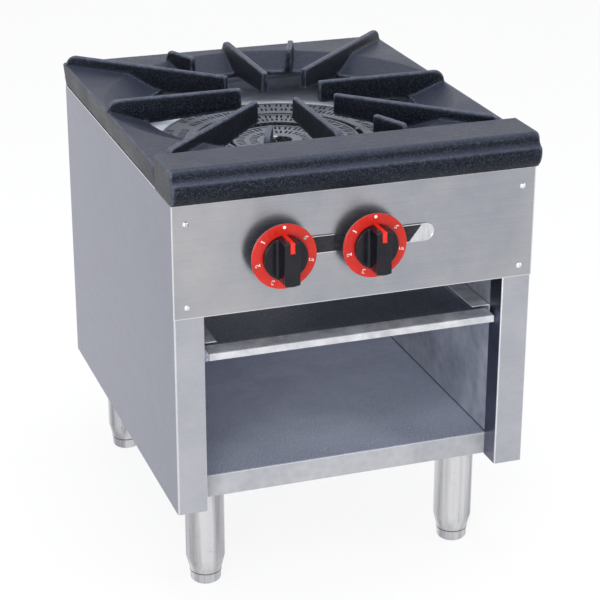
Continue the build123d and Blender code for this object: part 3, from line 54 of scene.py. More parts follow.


# ---- Node materials -----------------------------------------------------------------------------
class Finish:
    """A Principled material whose nodes are added one call at a time."""

    def __init__(self, name, **constants):
        self.material = bpy.data.materials.new(name)
        self.material.use_nodes = True
        self.tree = self.material.node_tree
        self.shader = self.tree.nodes["Principled BSDF"]
        for key, value in constants.items():
            self.shader.inputs[key.replace("_", " ")].default_value = value
        self.place = self.add("ShaderNodeTexCoord").outputs["Object"]

    def add(self, kind, **settings):
        """A new node."""
        node = self.tree.nodes.new(kind)
        for key, value in settings.items():
            setattr(node, key, value)
        return node

    def join(self, node, key, value):
        """Link a socket, or set a constant, on a node's input."""
        socket = node.inputs[key]
        if isinstance(value, bpy.types.NodeSocket):
            self.tree.links.new(value, socket)
        else:
            socket.default_value = value

    def set(self, key, value):
        """Link or set a socket of the shader."""
        self.join(self.shader, key, value)

    def stretch(self, scale, turn=(0, 0, 0)):
        """The place on the object, scaled along each axis and turned."""
        node = self.add("ShaderNodeMapping")
        self.join(node, "Vector", self.place)
        node.inputs["Scale"].default_value = scale
        node.inputs["Rotation"].default_value = turn
        return node.outputs["Vector"]

    def noise(self, scale, detail=3.0, rough=0.5, place=None, distortion=0.0):
        """Cloudy noise, around 0.5."""
        node = self.add("ShaderNodeTexNoise")
        self.join(node, "Vector", place or self.place)
        node.inputs["Scale"].default_value = scale
        node.inputs["Detail"].default_value = detail
        node.inputs["Roughness"].default_value = rough
        node.inputs["Distortion"].default_value = distortion
        return node.outputs["Fac"]

    def cells(self, scale):
        """Distance to the nearest of scattered points."""
        node = self.add("ShaderNodeTexVoronoi", feature="F1")
        self.join(node, "Vector", self.place)
        node.inputs["Scale"].default_value = scale
        return node.outputs["Distance"]

    def between(self, value, low, high, start=0.0, end=1.0):
        """Map a value's span onto another, clamped."""
        node = self.add("ShaderNodeMapRange")
        self.join(node, "Value", value)
        keys = ("From Min", "From Max", "To Min", "To Max")
        for key, number in zip(keys, (low, high, start, end)):
            node.inputs[key].default_value = number
        return node.outputs["Result"]

    def math(self, kind, a, b=0.0):
        """One arithmetic step."""
        node = self.add("ShaderNodeMath", operation=kind)
        self.join(node, 0, a)
        self.join(node, 1, b)
        return node.outputs["Value"]

    def mix(self, factor, a, b):
        """Blend two colours."""
        node = self.add("ShaderNodeMix", data_type="RGBA")
        self.join(node, MIX_FACTOR, factor)
        for key, value in ((MIX_A, a), (MIX_B, b)):
            linked = isinstance(value, bpy.types.NodeSocket)
            self.join(node, key, value if linked else (*value, 1.0))
        return node.outputs[MIX_RESULT]

    def bump(self, height, distance, strength=1.0, normal=None):
        """The normal of a surface raised by a height."""
        node = self.add("ShaderNodeBump")
        self.join(node, "Height", height)
        node.inputs["Distance"].default_value = distance
        node.inputs["Strength"].default_value = strength
        if normal:
            self.join(node, "Normal", normal)
        return node.outputs["Normal"]

    def soft_normal(self, radius):
        """The normal as if edges were rounded off."""
        node = self.add("ShaderNodeBevel", samples=BEVEL_SAMPLES)
        node.inputs["Radius"].default_value = radius
        return node.outputs["Normal"]

    def edges(self, radius):
        """0 on flats, rising towards 1 on edges."""
        dot = self.add("ShaderNodeVectorMath", operation="DOT_PRODUCT")
        self.join(dot, 0, self.soft_normal(radius))
        self.join(dot, 1, self.add("ShaderNodeNewGeometry").outputs["Normal"])
        return self.between(dot.outputs["Value"], 1.0, EDGE_FULL)

    def ridges(self):
        """0 on flats, rising towards 1 on the ridges of a finely divided mesh."""
        geometry = self.add("ShaderNodeNewGeometry")
        return self.between(geometry.outputs["Pointiness"], RIDGE_START, RIDGE_FULL)

    def axis(self, name):
        """One coordinate of the place on the object."""
        node = self.add("ShaderNodeSeparateXYZ")
        self.join(node, "Vector", self.place)
        return node.outputs[name]

    def near(self, coordinate, value, width):
        """1 where a coordinate equals a value, falling to 0 at the width."""
        gap = self.math("ABSOLUTE", self.math("SUBTRACT", coordinate, value))
        return self.between(gap, width * 0.4, width, 1.0, 0.0)

    def folds(self, lines, width):
        """1 along straight fold lines, each given as two (axis, millimetres) pairs."""
        axes = {"X": self.math("ABSOLUTE", self.axis("X")),
                "Y": self.axis("Y"), "Z": self.axis("Z")}
        result = 0.0
        for first, second in lines:
            both = self.math("MULTIPLY", self.near(axes[first[0]], first[1] * MM, width),
                             self.near(axes[second[0]], second[1] * MM, width))
            result = self.math("MAXIMUM", both, result)
        return result

    def brushed(self, amount):
        """Highlights drawn out up and down, as on steel brushed round the cabinet."""
        self.set("Anisotropic", amount)
        self.set("Anisotropic Rotation", 0.25)
        self.set("Tangent", self.add("ShaderNodeTangent", direction_type="RADIAL", axis="Z")
                 .outputs["Tangent"])


def stainless(name, grain, light, dark, lines, front=None):
    """Brushed sheet. Grain is the scale of the brushing along each axis; lines are folds given a
    bright painted highlight; front is a (light, dark) pair for the parts of the sheet folded
    across
    the front, lighter than the rest: painted light on the front, painted shade on the sides."""
    f = Finish(name, Metallic=1.0)
    streaks = f.noise(1.0, 4.0, 0.6, f.stretch(grain))
    fine = f.noise(1.0, 2.0, 0.5, f.stretch(tuple(3.1 * g for g in grain)))
    blotches = f.noise(7.0, 4.0, 0.55, distortion=0.4)
    specks = f.between(f.noise(260.0, 2.0), 0.62, 0.8)
    clouds = f.noise(34.0, 5.0, 0.65, distortion=0.6)
    smudges = f.math("ADD", f.math("MULTIPLY", blotches, 0.6), f.math("MULTIPLY", clouds, 0.2))
    tone = f.math("ADD", f.math("MULTIPLY", streaks, 0.2), smudges)
    factor = f.between(tone, 0.38, 0.62)
    colour = f.mix(factor, dark, light)
    # The parts folded across the front get a lighter tone than the rest: painted light on the
    # front, painted shade on the sides.
    if front:
        front_light, front_dark = front
        ahead = f.between(f.axis("Y"), (STILE_FRONT + 3.0) * MM, (STILE_FRONT + 1.0) * MM)
        colour = f.mix(ahead, colour, f.mix(factor, front_dark, front_light))
    colour = f.mix(f.math("MULTIPLY", specks, 0.10), colour, tuple(c * 0.6 for c in dark))
    wear = f.math("ADD", f.math("MULTIPLY", blotches, 0.14), f.math("MULTIPLY", fine, 0.14))
    roughness = f.math("ADD", wear, 0.16)
    # Bright lines along the folds: painted highlights.
    fold = f.folds(lines, STAINLESS_FOLD_WIDTH)
    colour = f.mix(f.math("MULTIPLY", fold, 0.8), colour, STAINLESS_FOLD_HIGHLIGHT)
    f.set("Base Color", colour)
    f.set("Roughness", roughness)
    f.set("Normal", f.bump(fine, 0.00002, 0.35, f.soft_normal(0.0006)))
    f.brushed(0.65)
    return f.material


def sheet_steel(name, light, dark, metal, rough=0.36, spangle=70.0, cloud_scale=28.0,
                lines=(), speckle=0.0, front=None, inside=None, painted_front_shade=None, seam=None):
    """Smudged zinc-coated or dull sheet. Spangle and cloud_scale are the scales of its crystals
    and smudges, and speckle is the strength of its bright specks, which are painted glints. Front
    is (place along Y, light, dark) for its parts ahead of that place, a tone of their own as
    painted light and shade; inside is (low, high, light, dark) for its parts between two heights,
    darker as painted shade inside a tray; painted_front_shade is the tone towards the front,
    darker than the rear's, a painted shade; lines get a painted highlight; a dark line runs just
    above the height of the seam."""
    f = Finish(name, Metallic=metal)
    cloud = f.noise(cloud_scale, 5.0, 0.62, distortion=0.8)
    flakes = f.cells(spangle)
    tone = f.math("ADD", f.math("MULTIPLY", cloud, 0.85), f.math("MULTIPLY", flakes, 0.2))
    factor = f.between(tone, 0.36, 0.68)
    colour = f.mix(factor, dark, light)
    # A darker tone towards the front than at the rear: painted shade.
    if painted_front_shade:
        worn = f.math("ADD", f.axis("Y"), f.math("MULTIPLY", cloud, 0.12))
        colour = f.mix(f.between(worn, 0.10, -0.16), colour, painted_front_shade)
    brightest = light
    # A darker tone between two heights: painted shade inside the tray.
    if inside:
        low, high, inner_light, inner_dark = inside
        brightest = inner_light
        height = f.axis("Z")
        within = f.math("MULTIPLY", f.between(height, high * MM, (high - TONE_BLEND) * MM),
                        f.between(height, low * MM, (low + TONE_BLEND) * MM))
        colour = f.mix(within, colour, f.mix(factor, inner_dark, inner_light))
    # Bright specks above the lightest tone: painted glints.
    if speckle:
        sparks = f.between(f.noise(560.0, 2.0, 0.6), 0.52, 0.66)
        spark = tuple(min(1.0, c * 2.2) for c in brightest)
        colour = f.mix(f.math("MULTIPLY", sparks, speckle), colour, spark)
    # The parts ahead of a place along Y get a tone of their own: painted light and shade, for
    # faces that take the light differently from the rest of the sheet.
    if front:
        place, front_light, front_dark = front
        ahead = f.between(f.axis("Y"), (place + TONE_BLEND) * MM, place * MM)
        colour = f.mix(ahead, colour, f.mix(factor, front_dark, front_light))
    # Bright lines along the folds: painted highlights.
    if lines:
        fold = f.folds(lines, ZINC_FOLD_WIDTH)
        colour = f.mix(f.math("MULTIPLY", fold, 0.85), colour, ZINC_FOLD_HIGHLIGHT)
    # A dark line just above the height of the seam.
    if seam:
        seam_dark = f.near(f.axis("Z"), (seam + 0.8) * MM, 0.0022)
        colour = f.mix(f.math("MULTIPLY", seam_dark, 0.85), colour, SEAM_DARK)
    f.set("Base Color", colour)
    f.set("Roughness", f.between(cloud, 0.3, 0.75, rough - 0.08, rough + 0.14))
    f.set("Normal", f.bump(f.noise(420.0, 2.0), 0.00004, 0.3, f.soft_normal(0.0005)))
    return f.material


def casting(name, base, worn, walls, wear, fleck, specular, tint, rough=0.36, radius=0.0):
    """Sand casting with a coarse grain and lighter edges, partly worn and partly a painted
    highlight. Walls is the colour of the faces that don't look up, a painted shade that leaves the
    up-facing faces looking lit from above; wear and fleck are the shares of the worn colour on
    edges and grains, the flecks being painted glints; radius, where given, finds the edges of a
    plain mesh."""
    f = Finish(name, Metallic=0.0)
    f.shader.inputs["Specular IOR Level"].default_value = specular
    f.shader.inputs["Specular Tint"].default_value = tint
    grit = f.noise(620.0, 3.0, 0.8)
    lumps = f.noise(150.0, 3.0, 0.5)
    patches = f.noise(14.0, 4.0, 0.6)
    sharp = f.edges(radius) if radius else f.ridges()
    edge = f.math("MULTIPLY", sharp, f.between(lumps, 0.3, 0.65, 0.35, 1.0))
    flecks = f.between(grit, 0.49, 0.68)
    colour = f.mix(f.between(patches, 0.3, 0.7), base, tuple(c * 1.4 for c in base))
    # Faces that don't look up take the walls colour: painted shade, so the up-facing faces read as
    # lit from above.
    face = f.add("ShaderNodeSeparateXYZ")
    f.join(face, "Vector", f.add("ShaderNodeNewGeometry").outputs["Normal"])
    colour = f.mix(f.between(face.outputs["Z"], FACES_UP, FACES_OUT), colour, walls)
    # Light flecks on the grain: painted glints.
    colour = f.mix(f.math("MULTIPLY", flecks, fleck), colour, worn)
    # Lighter edges: partly wear, partly a painted highlight.
    colour = f.mix(f.math("MULTIPLY", edge, wear), colour, worn)
    f.set("Base Color", colour)
    f.set("Roughness", f.between(patches, 0.3, 0.7, rough - 0.06, rough + 0.08))
    height = f.math("ADD", grit, f.math("MULTIPLY", lumps, 0.9))
    f.set("Normal", f.bump(height, CAST_GRAIN, 0.9))
    return f.material


def glossy(name, base, dark, rough=0.2, grain=0.00001, specular=0.5):
    """Moulded plastic with faint mottling and scuffs."""
    f = Finish(name, Metallic=0.0)
    f.shader.inputs["Specular IOR Level"].default_value = specular
    cloud = f.noise(60.0, 4.0, 0.6)
    scuff = f.noise(1.0, 3.0, 0.6, f.stretch((300, 900, 300)))
    f.set("Base Color", f.mix(f.between(cloud, 0.3, 0.7), dark, base))
    f.set("Roughness", f.between(scuff, 0.35, 0.75, rough - 0.05, rough + 0.12))
    f.set("Normal", f.bump(f.noise(900.0, 2.0), grain, 0.5, f.soft_normal(0.0006)))
    return f.material


def turned_metal(name, light, dark, rough=0.25):
    """Machined or plated metal with fine turning lines."""
    f = Finish(name, Metallic=1.0)
    lines = f.noise(1.0, 3.0, 0.5, f.stretch(TURNING))
    cloud = f.noise(90.0, 3.0, 0.5)
    f.set("Base Color", f.mix(f.between(cloud, 0.3, 0.7), dark, light))
    f.set("Roughness", f.between(lines, 0.3, 0.7, rough - 0.06, rough + 0.1))
    f.set("Normal", f.bump(lines, 0.00002, 0.3))
    return f.material


def dial_plastic():
    """Red moulding whose rear face is grey."""
    f = Finish("dial_moulding", Metallic=0.0)
    f.shader.inputs["Specular IOR Level"].default_value = 0.3
    cloud = f.noise(45.0, 4.0, 0.6)
    colour = f.mix(f.between(cloud, 0.3, 0.7), (0.40, 0.011, 0.007), (0.48, 0.019, 0.011))
    rear = f.between(f.axis("Y"), (DIAL_FRONT + 1.6) * MM, (DIAL_FRONT + 2.0) * MM)
    f.set("Base Color", f.mix(rear, colour, (0.20, 0.20, 0.22)))
    f.set("Roughness", f.between(f.noise(220.0, 3.0), 0.35, 0.7, 0.20, 0.32))
    f.set("Normal", f.bump(f.noise(700.0, 2.0), 0.00002, 0.4, f.soft_normal(0.0006)))
    return f.material


def leg_finish():
    """Drawn steel tube with broad bands down it as painted highlights, and a painted shade line
    over the foot, in the gap where leg and foot meet.
    """
    f = Finish("leg_steel", Metallic=1.0)
    # Broad bands down the tube: painted highlights.
    bands = f.noise(1.0, 2.0, 0.45, f.stretch((62, 62, 2.5)))
    fine = f.noise(1.0, 3.0, 0.6, f.stretch((500, 500, 14)))
    marks = f.between(f.noise(90.0, 4.0, 0.6), 0.60, 0.72)
    tone = f.math("ADD", f.math("MULTIPLY", bands, 0.8), f.math("MULTIPLY", fine, 0.2))
    colour = f.mix(f.between(tone, 0.38, 0.62), (0.30, 0.30, 0.325), (0.66, 0.66, 0.675))
    colour = f.mix(f.math("MULTIPLY", marks, 0.25), colour, (0.26, 0.25, 0.26))
    # A dark line at the top of the foot: painted shade in the gap between leg and foot.
    seam = f.near(f.axis("Z"), FOOT_TOP * MM, 0.0014)
    f.set("Base Color", f.mix(f.math("MULTIPLY", seam, 0.85), colour, (0.05, 0.05, 0.06)))
    f.set("Roughness", f.between(fine, 0.3, 0.7, 0.18, 0.30))
    f.set("Normal", f.bump(fine, 0.00002, 0.35))
    return f.material


def badge_finish():
    """Black inlay, and past a slanted edge a bare brushed tip."""
    f = Finish("badge_inlay")
    f.shader.inputs["Specular IOR Level"].default_value = 0.25
    x, z = f.axis("X"), f.axis("Z")
    slant = f.math("ADD", x, f.math("MULTIPLY", f.math("SUBTRACT", z, BADGE_Z * MM), -TIP_SLANT))
    tip = f.between(slant, (TIP_START - 0.3) * MM, (TIP_START + 0.3) * MM)
    brushing = f.noise(1.0, 3.0, 0.5, f.stretch((400, 60, 60), (0, 0.6, 0)))
    dust = f.noise(240.0, 3.0, 0.6)
    black = f.mix(dust, (0.006, 0.006, 0.008), (0.030, 0.030, 0.036))
    bare = f.mix(f.between(brushing, 0.3, 0.7), (0.56, 0.57, 0.60), (0.72, 0.73, 0.75))
    f.set("Base Color", f.mix(tip, black, bare))
    f.set("Metallic", tip)
    f.set("Roughness", f.between(dust, 0.3, 0.7, 0.20, 0.34))
    f.set("Normal", f.bump(brushing, 0.00002, 0.3))
    return f.material


# Places on the model, in millimetres.
STILE_FRONT, STILE_IN, CABINET_HALF = -259.2, 190.5, 228.5
PANEL_FACE, PANEL_BOTTOM, CABINET_TOP = -260.4, 399.0, 540.0
DIAL_FRONT, KNOB_Z = -279.6, 470.0
KNOB_X = {"left": -99.0, "right": 14.0}
BADGE_LEFT, BADGE_RIGHT, BADGE_REACH, BADGE_Z = -84.0, 96.0, 11.0, 473.0
TIP_START, TIP_SLANT = 72.5, 0.75
DECK_TOP, SHELF_FRONT = 173.0, -227.2
TRAY_RIM, TRAY_BASE, TRAY_FRONT = 348.0, 327.8, -254.4
FOOT_TOP = 15.4

# Fold lines that get a painted highlight, each as two (axis, millimetres) pairs.
SIDE_FOLDS = (
    (("X", CABINET_HALF), ("Y", STILE_FRONT)),
    (("X", STILE_IN), ("Y", STILE_FRONT)),
    (("X", CABINET_HALF), ("Z", CABINET_TOP)),
)
PANEL_FOLDS = (
    (("X", CABINET_HALF), ("Y", PANEL_FACE)),
    (("Z", PANEL_BOTTOM), ("Y", PANEL_FACE)),
    (("Z", CABINET_TOP), ("Y", PANEL_FACE)),
)
SHELF_FOLDS = ((("Z", DECK_TOP), ("Y", SHELF_FRONT)),)
TRAY_FOLDS = ((("Z", TRAY_RIM), ("Y", TRAY_FRONT)),)

# Tones and grains that several finishes share.
# The fold tones below are painted highlights along the folds.
STAINLESS_FOLD_HIGHLIGHT, STAINLESS_FOLD_WIDTH = (0.86, 0.87, 0.88), 0.0016
ZINC_FOLD_HIGHLIGHT, ZINC_FOLD_WIDTH = (0.80, 0.81, 0.83), 0.0014
SEAM_DARK = (0.03, 0.032, 0.04)
TONE_BLEND = 0.4                 # millimetres over which a sheet's tone changes
CAST_GRAIN = 0.0004
TURNING = (200, 200, 2500)
COLD_TINT = (0.70, 0.80, 1.0, 1.0)

FRONT_STEEL = stainless(
    "front_steel", grain=(9, 60, 900), light=(0.455, 0.45, 0.465), dark=(0.345, 0.355, 0.40),
    lines=PANEL_FOLDS)
# The side panels are darker than the front of the same sheet as painted shade; their folded stiles
# take the front's lighter tone.
SIDE_STEEL_PAINTED_SHADE = stainless(
    "side_steel_painted_shade", grain=(60, 9, 900), light=(0.212, 0.220, 0.290), dark=(0.160, 0.168, 0.232),
    lines=SIDE_FOLDS, front=((0.48, 0.485, 0.525), (0.38, 0.39, 0.44)))
LINER_STEEL = sheet_steel(
    "liner_steel", light=(0.40, 0.425, 0.50), dark=(0.24, 0.26, 0.32), metal=0.35, rough=0.4,
    spangle=60.0, cloud_scale=20.0, seam=DECK_TOP)
# The deck and its front lip, one sheet, take different tones as painted light and shade, and the
# deck darkens towards the front as painted shade.
SHELF_STEEL = sheet_steel(
    "shelf_steel", light=(0.72, 0.76, 0.90), dark=(0.58, 0.62, 0.76), metal=0.15, spangle=90.0,
    cloud_scale=9.0, lines=SHELF_FOLDS, speckle=0.40, painted_front_shade=(0.29, 0.315, 0.405),
    front=(SHELF_FRONT + 1.0, (0.355, 0.355, 0.37), (0.27, 0.27, 0.295)))
ZINC = sheet_steel(
    "zinc_sheet", light=(0.80, 0.81, 0.85), dark=(0.42, 0.435, 0.49), metal=0.2)
# A very light tone that makes up for the shade under the grate: painted light.
PAN_ZINC = sheet_steel(
    "pan_sheet", light=(0.80, 0.84, 0.94), dark=(0.64, 0.68, 0.80), metal=0.1, rough=0.38,
    spangle=50.0, cloud_scale=16.0)
BACK_ZINC = sheet_steel(
    "back_sheet", light=(0.64, 0.66, 0.73), dark=(0.50, 0.52, 0.59), metal=0.35, rough=0.4,
    spangle=45.0)
# The tray's inside is darker as painted shade, its front lip takes a tone of its own as painted
# light and shade, and its specks are painted glints.
TRAY_STEEL = sheet_steel(
    "tray_sheet", light=(0.64, 0.65, 0.68), dark=(0.33, 0.34, 0.38), metal=0.4, spangle=60.0,
    cloud_scale=34.0, lines=TRAY_FOLDS, speckle=0.6,
    inside=(TRAY_BASE + 0.5, TRAY_RIM - 1.0, (0.35, 0.37, 0.46), (0.27, 0.285, 0.36)),
    front=(TRAY_FRONT + 1.0, (0.57, 0.57, 0.59), (0.37, 0.375, 0.40)))
BLACK_IRON = casting(
    "black_iron", base=(0.018, 0.021, 0.035), worn=(0.12, 0.135, 0.185),
    walls=(0.002, 0.003, 0.005), wear=0.7, fleck=0.32, specular=0.17, tint=COLD_TINT)
BURNER_IRON = casting(
    "burner_iron", base=(0.105, 0.112, 0.135), worn=(0.40, 0.42, 0.47),
    walls=(0.006, 0.006, 0.008), wear=0.6, fleck=0.5, specular=0.35, tint=WHITE, rough=0.5,
    radius=0.001)
PIPE_PAINT = glossy(
    "pipe_paint", base=(0.03, 0.03, 0.035), dark=(0.012, 0.012, 0.015), rough=0.4, grain=0.00004)
BRASS = turned_metal("brass", light=(0.70, 0.50, 0.20), dark=(0.50, 0.34, 0.13))
TUBE = turned_metal("drawn_tube", light=(0.70, 0.71, 0.73), dark=(0.52, 0.53, 0.56))
PLATED = turned_metal(
    "bright_plating", light=(0.80, 0.80, 0.82), dark=(0.60, 0.60, 0.63), rough=0.16)
LEG_STEEL = leg_finish()
RED = glossy(
    "red_moulding", base=(0.62, 0.020, 0.010), dark=(0.52, 0.014, 0.008), rough=0.22,
    specular=0.35)
DIAL_RED = dial_plastic()
BLACK = glossy(
    "black_moulding", base=(0.008, 0.008, 0.012), dark=(0.004, 0.004, 0.007), rough=0.16,
    specular=0.28)
BADGE = badge_finish()

finish_of = {
    "stainless": FRONT_STEEL, "galvanised": ZINC, "black_iron": BLACK_IRON,
    "burner_iron": BURNER_IRON, "pipe": PIPE_PAINT, "brass": BRASS, "tube": TUBE,
    "plated_steel": PLATED, "badge": BADGE, "red_plastic": RED, "black_plastic": BLACK,
}
special = {
    "left_side_panel": SIDE_STEEL_PAINTED_SHADE, "right_side_panel": SIDE_STEEL_PAINTED_SHADE, "left_liner": LINER_STEEL,
    "right_liner": LINER_STEEL, "bottom_shelf": SHELF_STEEL, "back_panel": BACK_ZINC,
    "spill_pan": PAN_ZINC, "drip_tray": TRAY_STEEL, "left_dial": DIAL_RED, "right_dial": DIAL_RED,
}
for part in frame["record"]["subparts"]:
    node = NODES[part["node"]]
    chosen = special.get(part["node"]) or finish_of[part["material_slot"]]
    if part["node"].endswith(("_leg", "_foot")):
        chosen = LEG_STEEL
    for slot in node.material_slots:
        slot.material = chosen


# ---- Pieces -------------------------------------------------------------------------------------
def piece(name, mesh, material, body, slot, *hidden):
    """A new object for a mesh, riding on a CAD body and standing for the hidden nodes."""
    mesh.materials.clear()
    mesh.materials.append(material)
    thing = bpy.data.objects.new(name, mesh)
    bpy.context.scene.collection.objects.link(thing)
    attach(thing, body)
    if hidden:
        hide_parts(*hidden)
    return thing


def evaluated(thing):
    """The mesh that an object's modifiers give, and the object removed."""
    graph = bpy.context.evaluated_depsgraph_get()
    mesh = bpy.data.meshes.new_from_object(thing.evaluated_get(graph))
    bpy.data.objects.remove(thing)
    return mesh


def cast_mesh(name, node, voxel, rounds, keep, lump=0.0, lump_scale=1.0):
    """A node's shape, remeshed at a voxel size and smoothed for some rounds, with lumps of a
    height and scale on its skin, kept inside the node's box. Keep is the share of faces left."""
    places = [vertex.co for vertex in NODES[node].data.vertices]
    low = [min(place[k] for place in places) for k in range(3)]
    high = [max(place[k] for place in places) for k in range(3)]
    source = bpy.data.objects.new(name, NODES[node].data.copy())
    bpy.context.scene.collection.objects.link(source)
    weld = source.modifiers.new("weld", "WELD")
    weld.merge_threshold = 0.00002
    remesh = source.modifiers.new("remesh", "REMESH")
    remesh.mode = "VOXEL"
    remesh.voxel_size = voxel
    soften = source.modifiers.new("soften", "SMOOTH")
    soften.factor = 0.5
    soften.iterations = rounds
    mesh = evaluated(source)
    pushes = [vertex.normal * noise.noise(vertex.co * lump_scale) * lump
              for vertex in mesh.vertices]
    for vertex, push in zip(mesh.vertices, pushes):
        vertex.co += push
    source = bpy.data.objects.new(name, mesh)
    bpy.context.scene.collection.objects.link(source)
    thin = source.modifiers.new("thin", "DECIMATE")
    thin.ratio = keep
    mesh = evaluated(source)
    for vertex in mesh.vertices:
        vertex.co = [min(max(vertex.co[k], low[k]), high[k]) for k in range(3)]
    for polygon in mesh.polygons:
        polygon.use_smooth = True
    mesh.name = name
    return mesh


grate_mesh = cast_mesh("grate_casting", "top_grate", voxel=0.0016, rounds=4, keep=0.42,
                       lump=0.00018, lump_scale=260.0)
piece("grate_casting", grate_mesh, BLACK_IRON, "grate", "black_iron", "top_grate")
rail_mesh = cast_mesh("rail_casting", "front_rail", voxel=0.0014, rounds=5, keep=0.6,
                      lump=0.00015, lump_scale=240.0)
piece("rail_casting", rail_mesh, BLACK_IRON, "cabinet", "black_iron", "front_rail")
for side in KNOB_X:
    grip_mesh = cast_mesh(side + "_grip_moulding", side + "_grip", voxel=0.00055, rounds=4,
                          keep=0.5)
    piece(side + "_grip_moulding", grip_mesh, BLACK, side + "_knob", "black_plastic",
          side + "_grip")

# Each number is one stroke through points in a unit box.
DIGITS = {
    1: ((0.28, 0.80), (0.55, 1.0), (0.55, 0.0)),
    2: ((0.1, 0.78), (0.25, 0.97), (0.6, 1.0), (0.85, 0.8), (0.75, 0.5), (0.1, 0.0), (0.9, 0.0)),
    3: ((0.1, 0.9), (0.5, 1.0), (0.85, 0.8), (0.7, 0.55), (0.4, 0.53), (0.75, 0.48), (0.9, 0.22),
        (0.5, 0.0), (0.1, 0.1)),
    4: ((0.7, 0.0), (0.7, 1.0), (0.08, 0.3), (0.95, 0.3)),
    5: ((0.85, 1.0), (0.22, 1.0), (0.15, 0.55), (0.55, 0.62), (0.88, 0.4), (0.75, 0.08),
        (0.35, 0.0), (0.1, 0.1)),
    6: ((0.8, 0.95), (0.4, 0.9), (0.15, 0.5), (0.15, 0.2), (0.45, 0.0), (0.85, 0.15), (0.8, 0.5),
        (0.45, 0.6), (0.17, 0.4)),
}
DIGIT_RADIUS, DIGIT_HEIGHT, DIGIT_WIDTH, STROKE = 33.6, 5.4, 3.6, 1.0
DOT_ABOVE, DOT_RADIUS, DOT_SIDES = 36.3, 1.9, 24
PRINT_PROUD, PRINT_DEPTH = 0.07, 0.3


def closed_mesh(bm, name):
    """A mesh of what has been built, its faces looking outwards."""
    bmesh.ops.recalc_face_normals(bm, faces=bm.faces)
    mesh = bpy.data.meshes.new(name)
    bm.to_mesh(mesh)
    bm.free()
    return mesh


def ribbon(bm, points, width, front, back):
    """A flat stroke through points (x, z), its ends square, from front to back in Y."""
    half, overrun = width / 2, 0.8
    for (x0, z0), (x1, z1) in zip(points, points[1:]):
        run = Vector((x1 - x0, z1 - z0))
        along = run.normalized() * half * overrun
        across = Vector((-along.y, along.x)).normalized() * half
        corners = [Vector((x0, z0)) - along + across, Vector((x1, z1)) + along + across,
                   Vector((x1, z1)) + along - across, Vector((x0, z0)) - along - across]
        near = [bm.verts.new((c.x, front, c.y)) for c in corners]
        far = [bm.verts.new((c.x, back, c.y)) for c in corners]
        bm.faces.new(near)
        bm.faces.new(reversed(far))
        for k in range(4):
            bm.faces.new((near[k - 1], near[k], far[k], far[k - 1])[::-1])


def dial_marks(side):
    """A dot at the top and the plain numbers 1 to 6, read outwards, round the dial."""
    bm = bmesh.new()
    hub = Vector((KNOB_X[side], KNOB_Z))
    front, back = (DIAL_FRONT - PRINT_PROUD) * MM, (DIAL_FRONT + PRINT_DEPTH) * MM
    for number, stroke in DIGITS.items():
        angle = radians(90 + 360 / 7 * number)
        out = Vector((cos(angle), sin(angle)))
        right = Vector((out.y, -out.x))
        centre = hub + out * DIGIT_RADIUS
        points = [centre + right * (u - 0.5) * DIGIT_WIDTH + out * (v - 0.5) * DIGIT_HEIGHT
                  for u, v in stroke]
        ribbon(bm, [tuple(p * MM) for p in points], STROKE * MM, front, back)
    middle = (hub + Vector((0, DOT_ABOVE))) * MM
    turns = [2 * pi * k / DOT_SIDES for k in range(DOT_SIDES)]
    ring = [middle + Vector((cos(turn), sin(turn))) * DOT_RADIUS * MM for turn in turns]
    near = [bm.verts.new((p.x, front, p.y)) for p in ring]
    far = [bm.verts.new((p.x, back, p.y)) for p in ring]
    bm.faces.new(near[::-1])
    bm.faces.new(far)
    for k in range(DOT_SIDES):
        bm.faces.new((near[k - 1], near[k], far[k], far[k - 1]))
    return closed_mesh(bm, side + "_dial_marks")


def print_finish():
    """White print, worn in places to the red below."""
    f = Finish("white_print", Metallic=0.0)
    worn = f.between(f.noise(500.0, 4.0, 0.7), 0.45, 0.75)
    f.set("Base Color", f.mix(worn, (0.86, 0.80, 0.78), (0.80, 0.42, 0.38)))
    f.set("Roughness", f.between(worn, 0.0, 1.0, 0.35, 0.55))
    f.set("Normal", f.bump(f.noise(1200.0, 2.0), 0.00001, 0.4))
    return f.material


PRINT = print_finish()
for side in KNOB_X:
    piece(side + "_dial_marks", dial_marks(side), PRINT, side + "_knob", "red_plastic")


def badge_border():
    """Thin bright edging round the badge plate: square at the left, round at the right."""
    width, sides = 0.9, 24
    face, back = (PANEL_FACE - 1.95) * MM, (PANEL_FACE - 1.2) * MM
    bm = bmesh.new()
    walls = []
    for radius in (BADGE_REACH, BADGE_REACH - width):
        left = BADGE_LEFT + BADGE_REACH - radius
        wall = [(left, BADGE_Z + radius)]
        for k in range(sides + 1):
            turn = pi / 2 - pi * k / sides
            wall.append((BADGE_RIGHT - BADGE_REACH + radius * cos(turn),
                         BADGE_Z + radius * sin(turn)))
        wall.append((left, BADGE_Z - radius))
        walls.append(wall)
    outer, inner = walls
    rings = [[bm.verts.new((x * MM, y, z * MM)) for x, z in wall]
             for wall, y in ((outer, back), (outer, face), (inner, face), (inner, back))]
    for first, second in zip(rings, rings[1:] + rings[:1]):
        for k in range(len(first)):
            bm.faces.new((first[k - 1], first[k], second[k], second[k - 1]))
    return closed_mesh(bm, "badge_border")


piece("badge_border", badge_border(), PLATED, "cabinet", "badge")


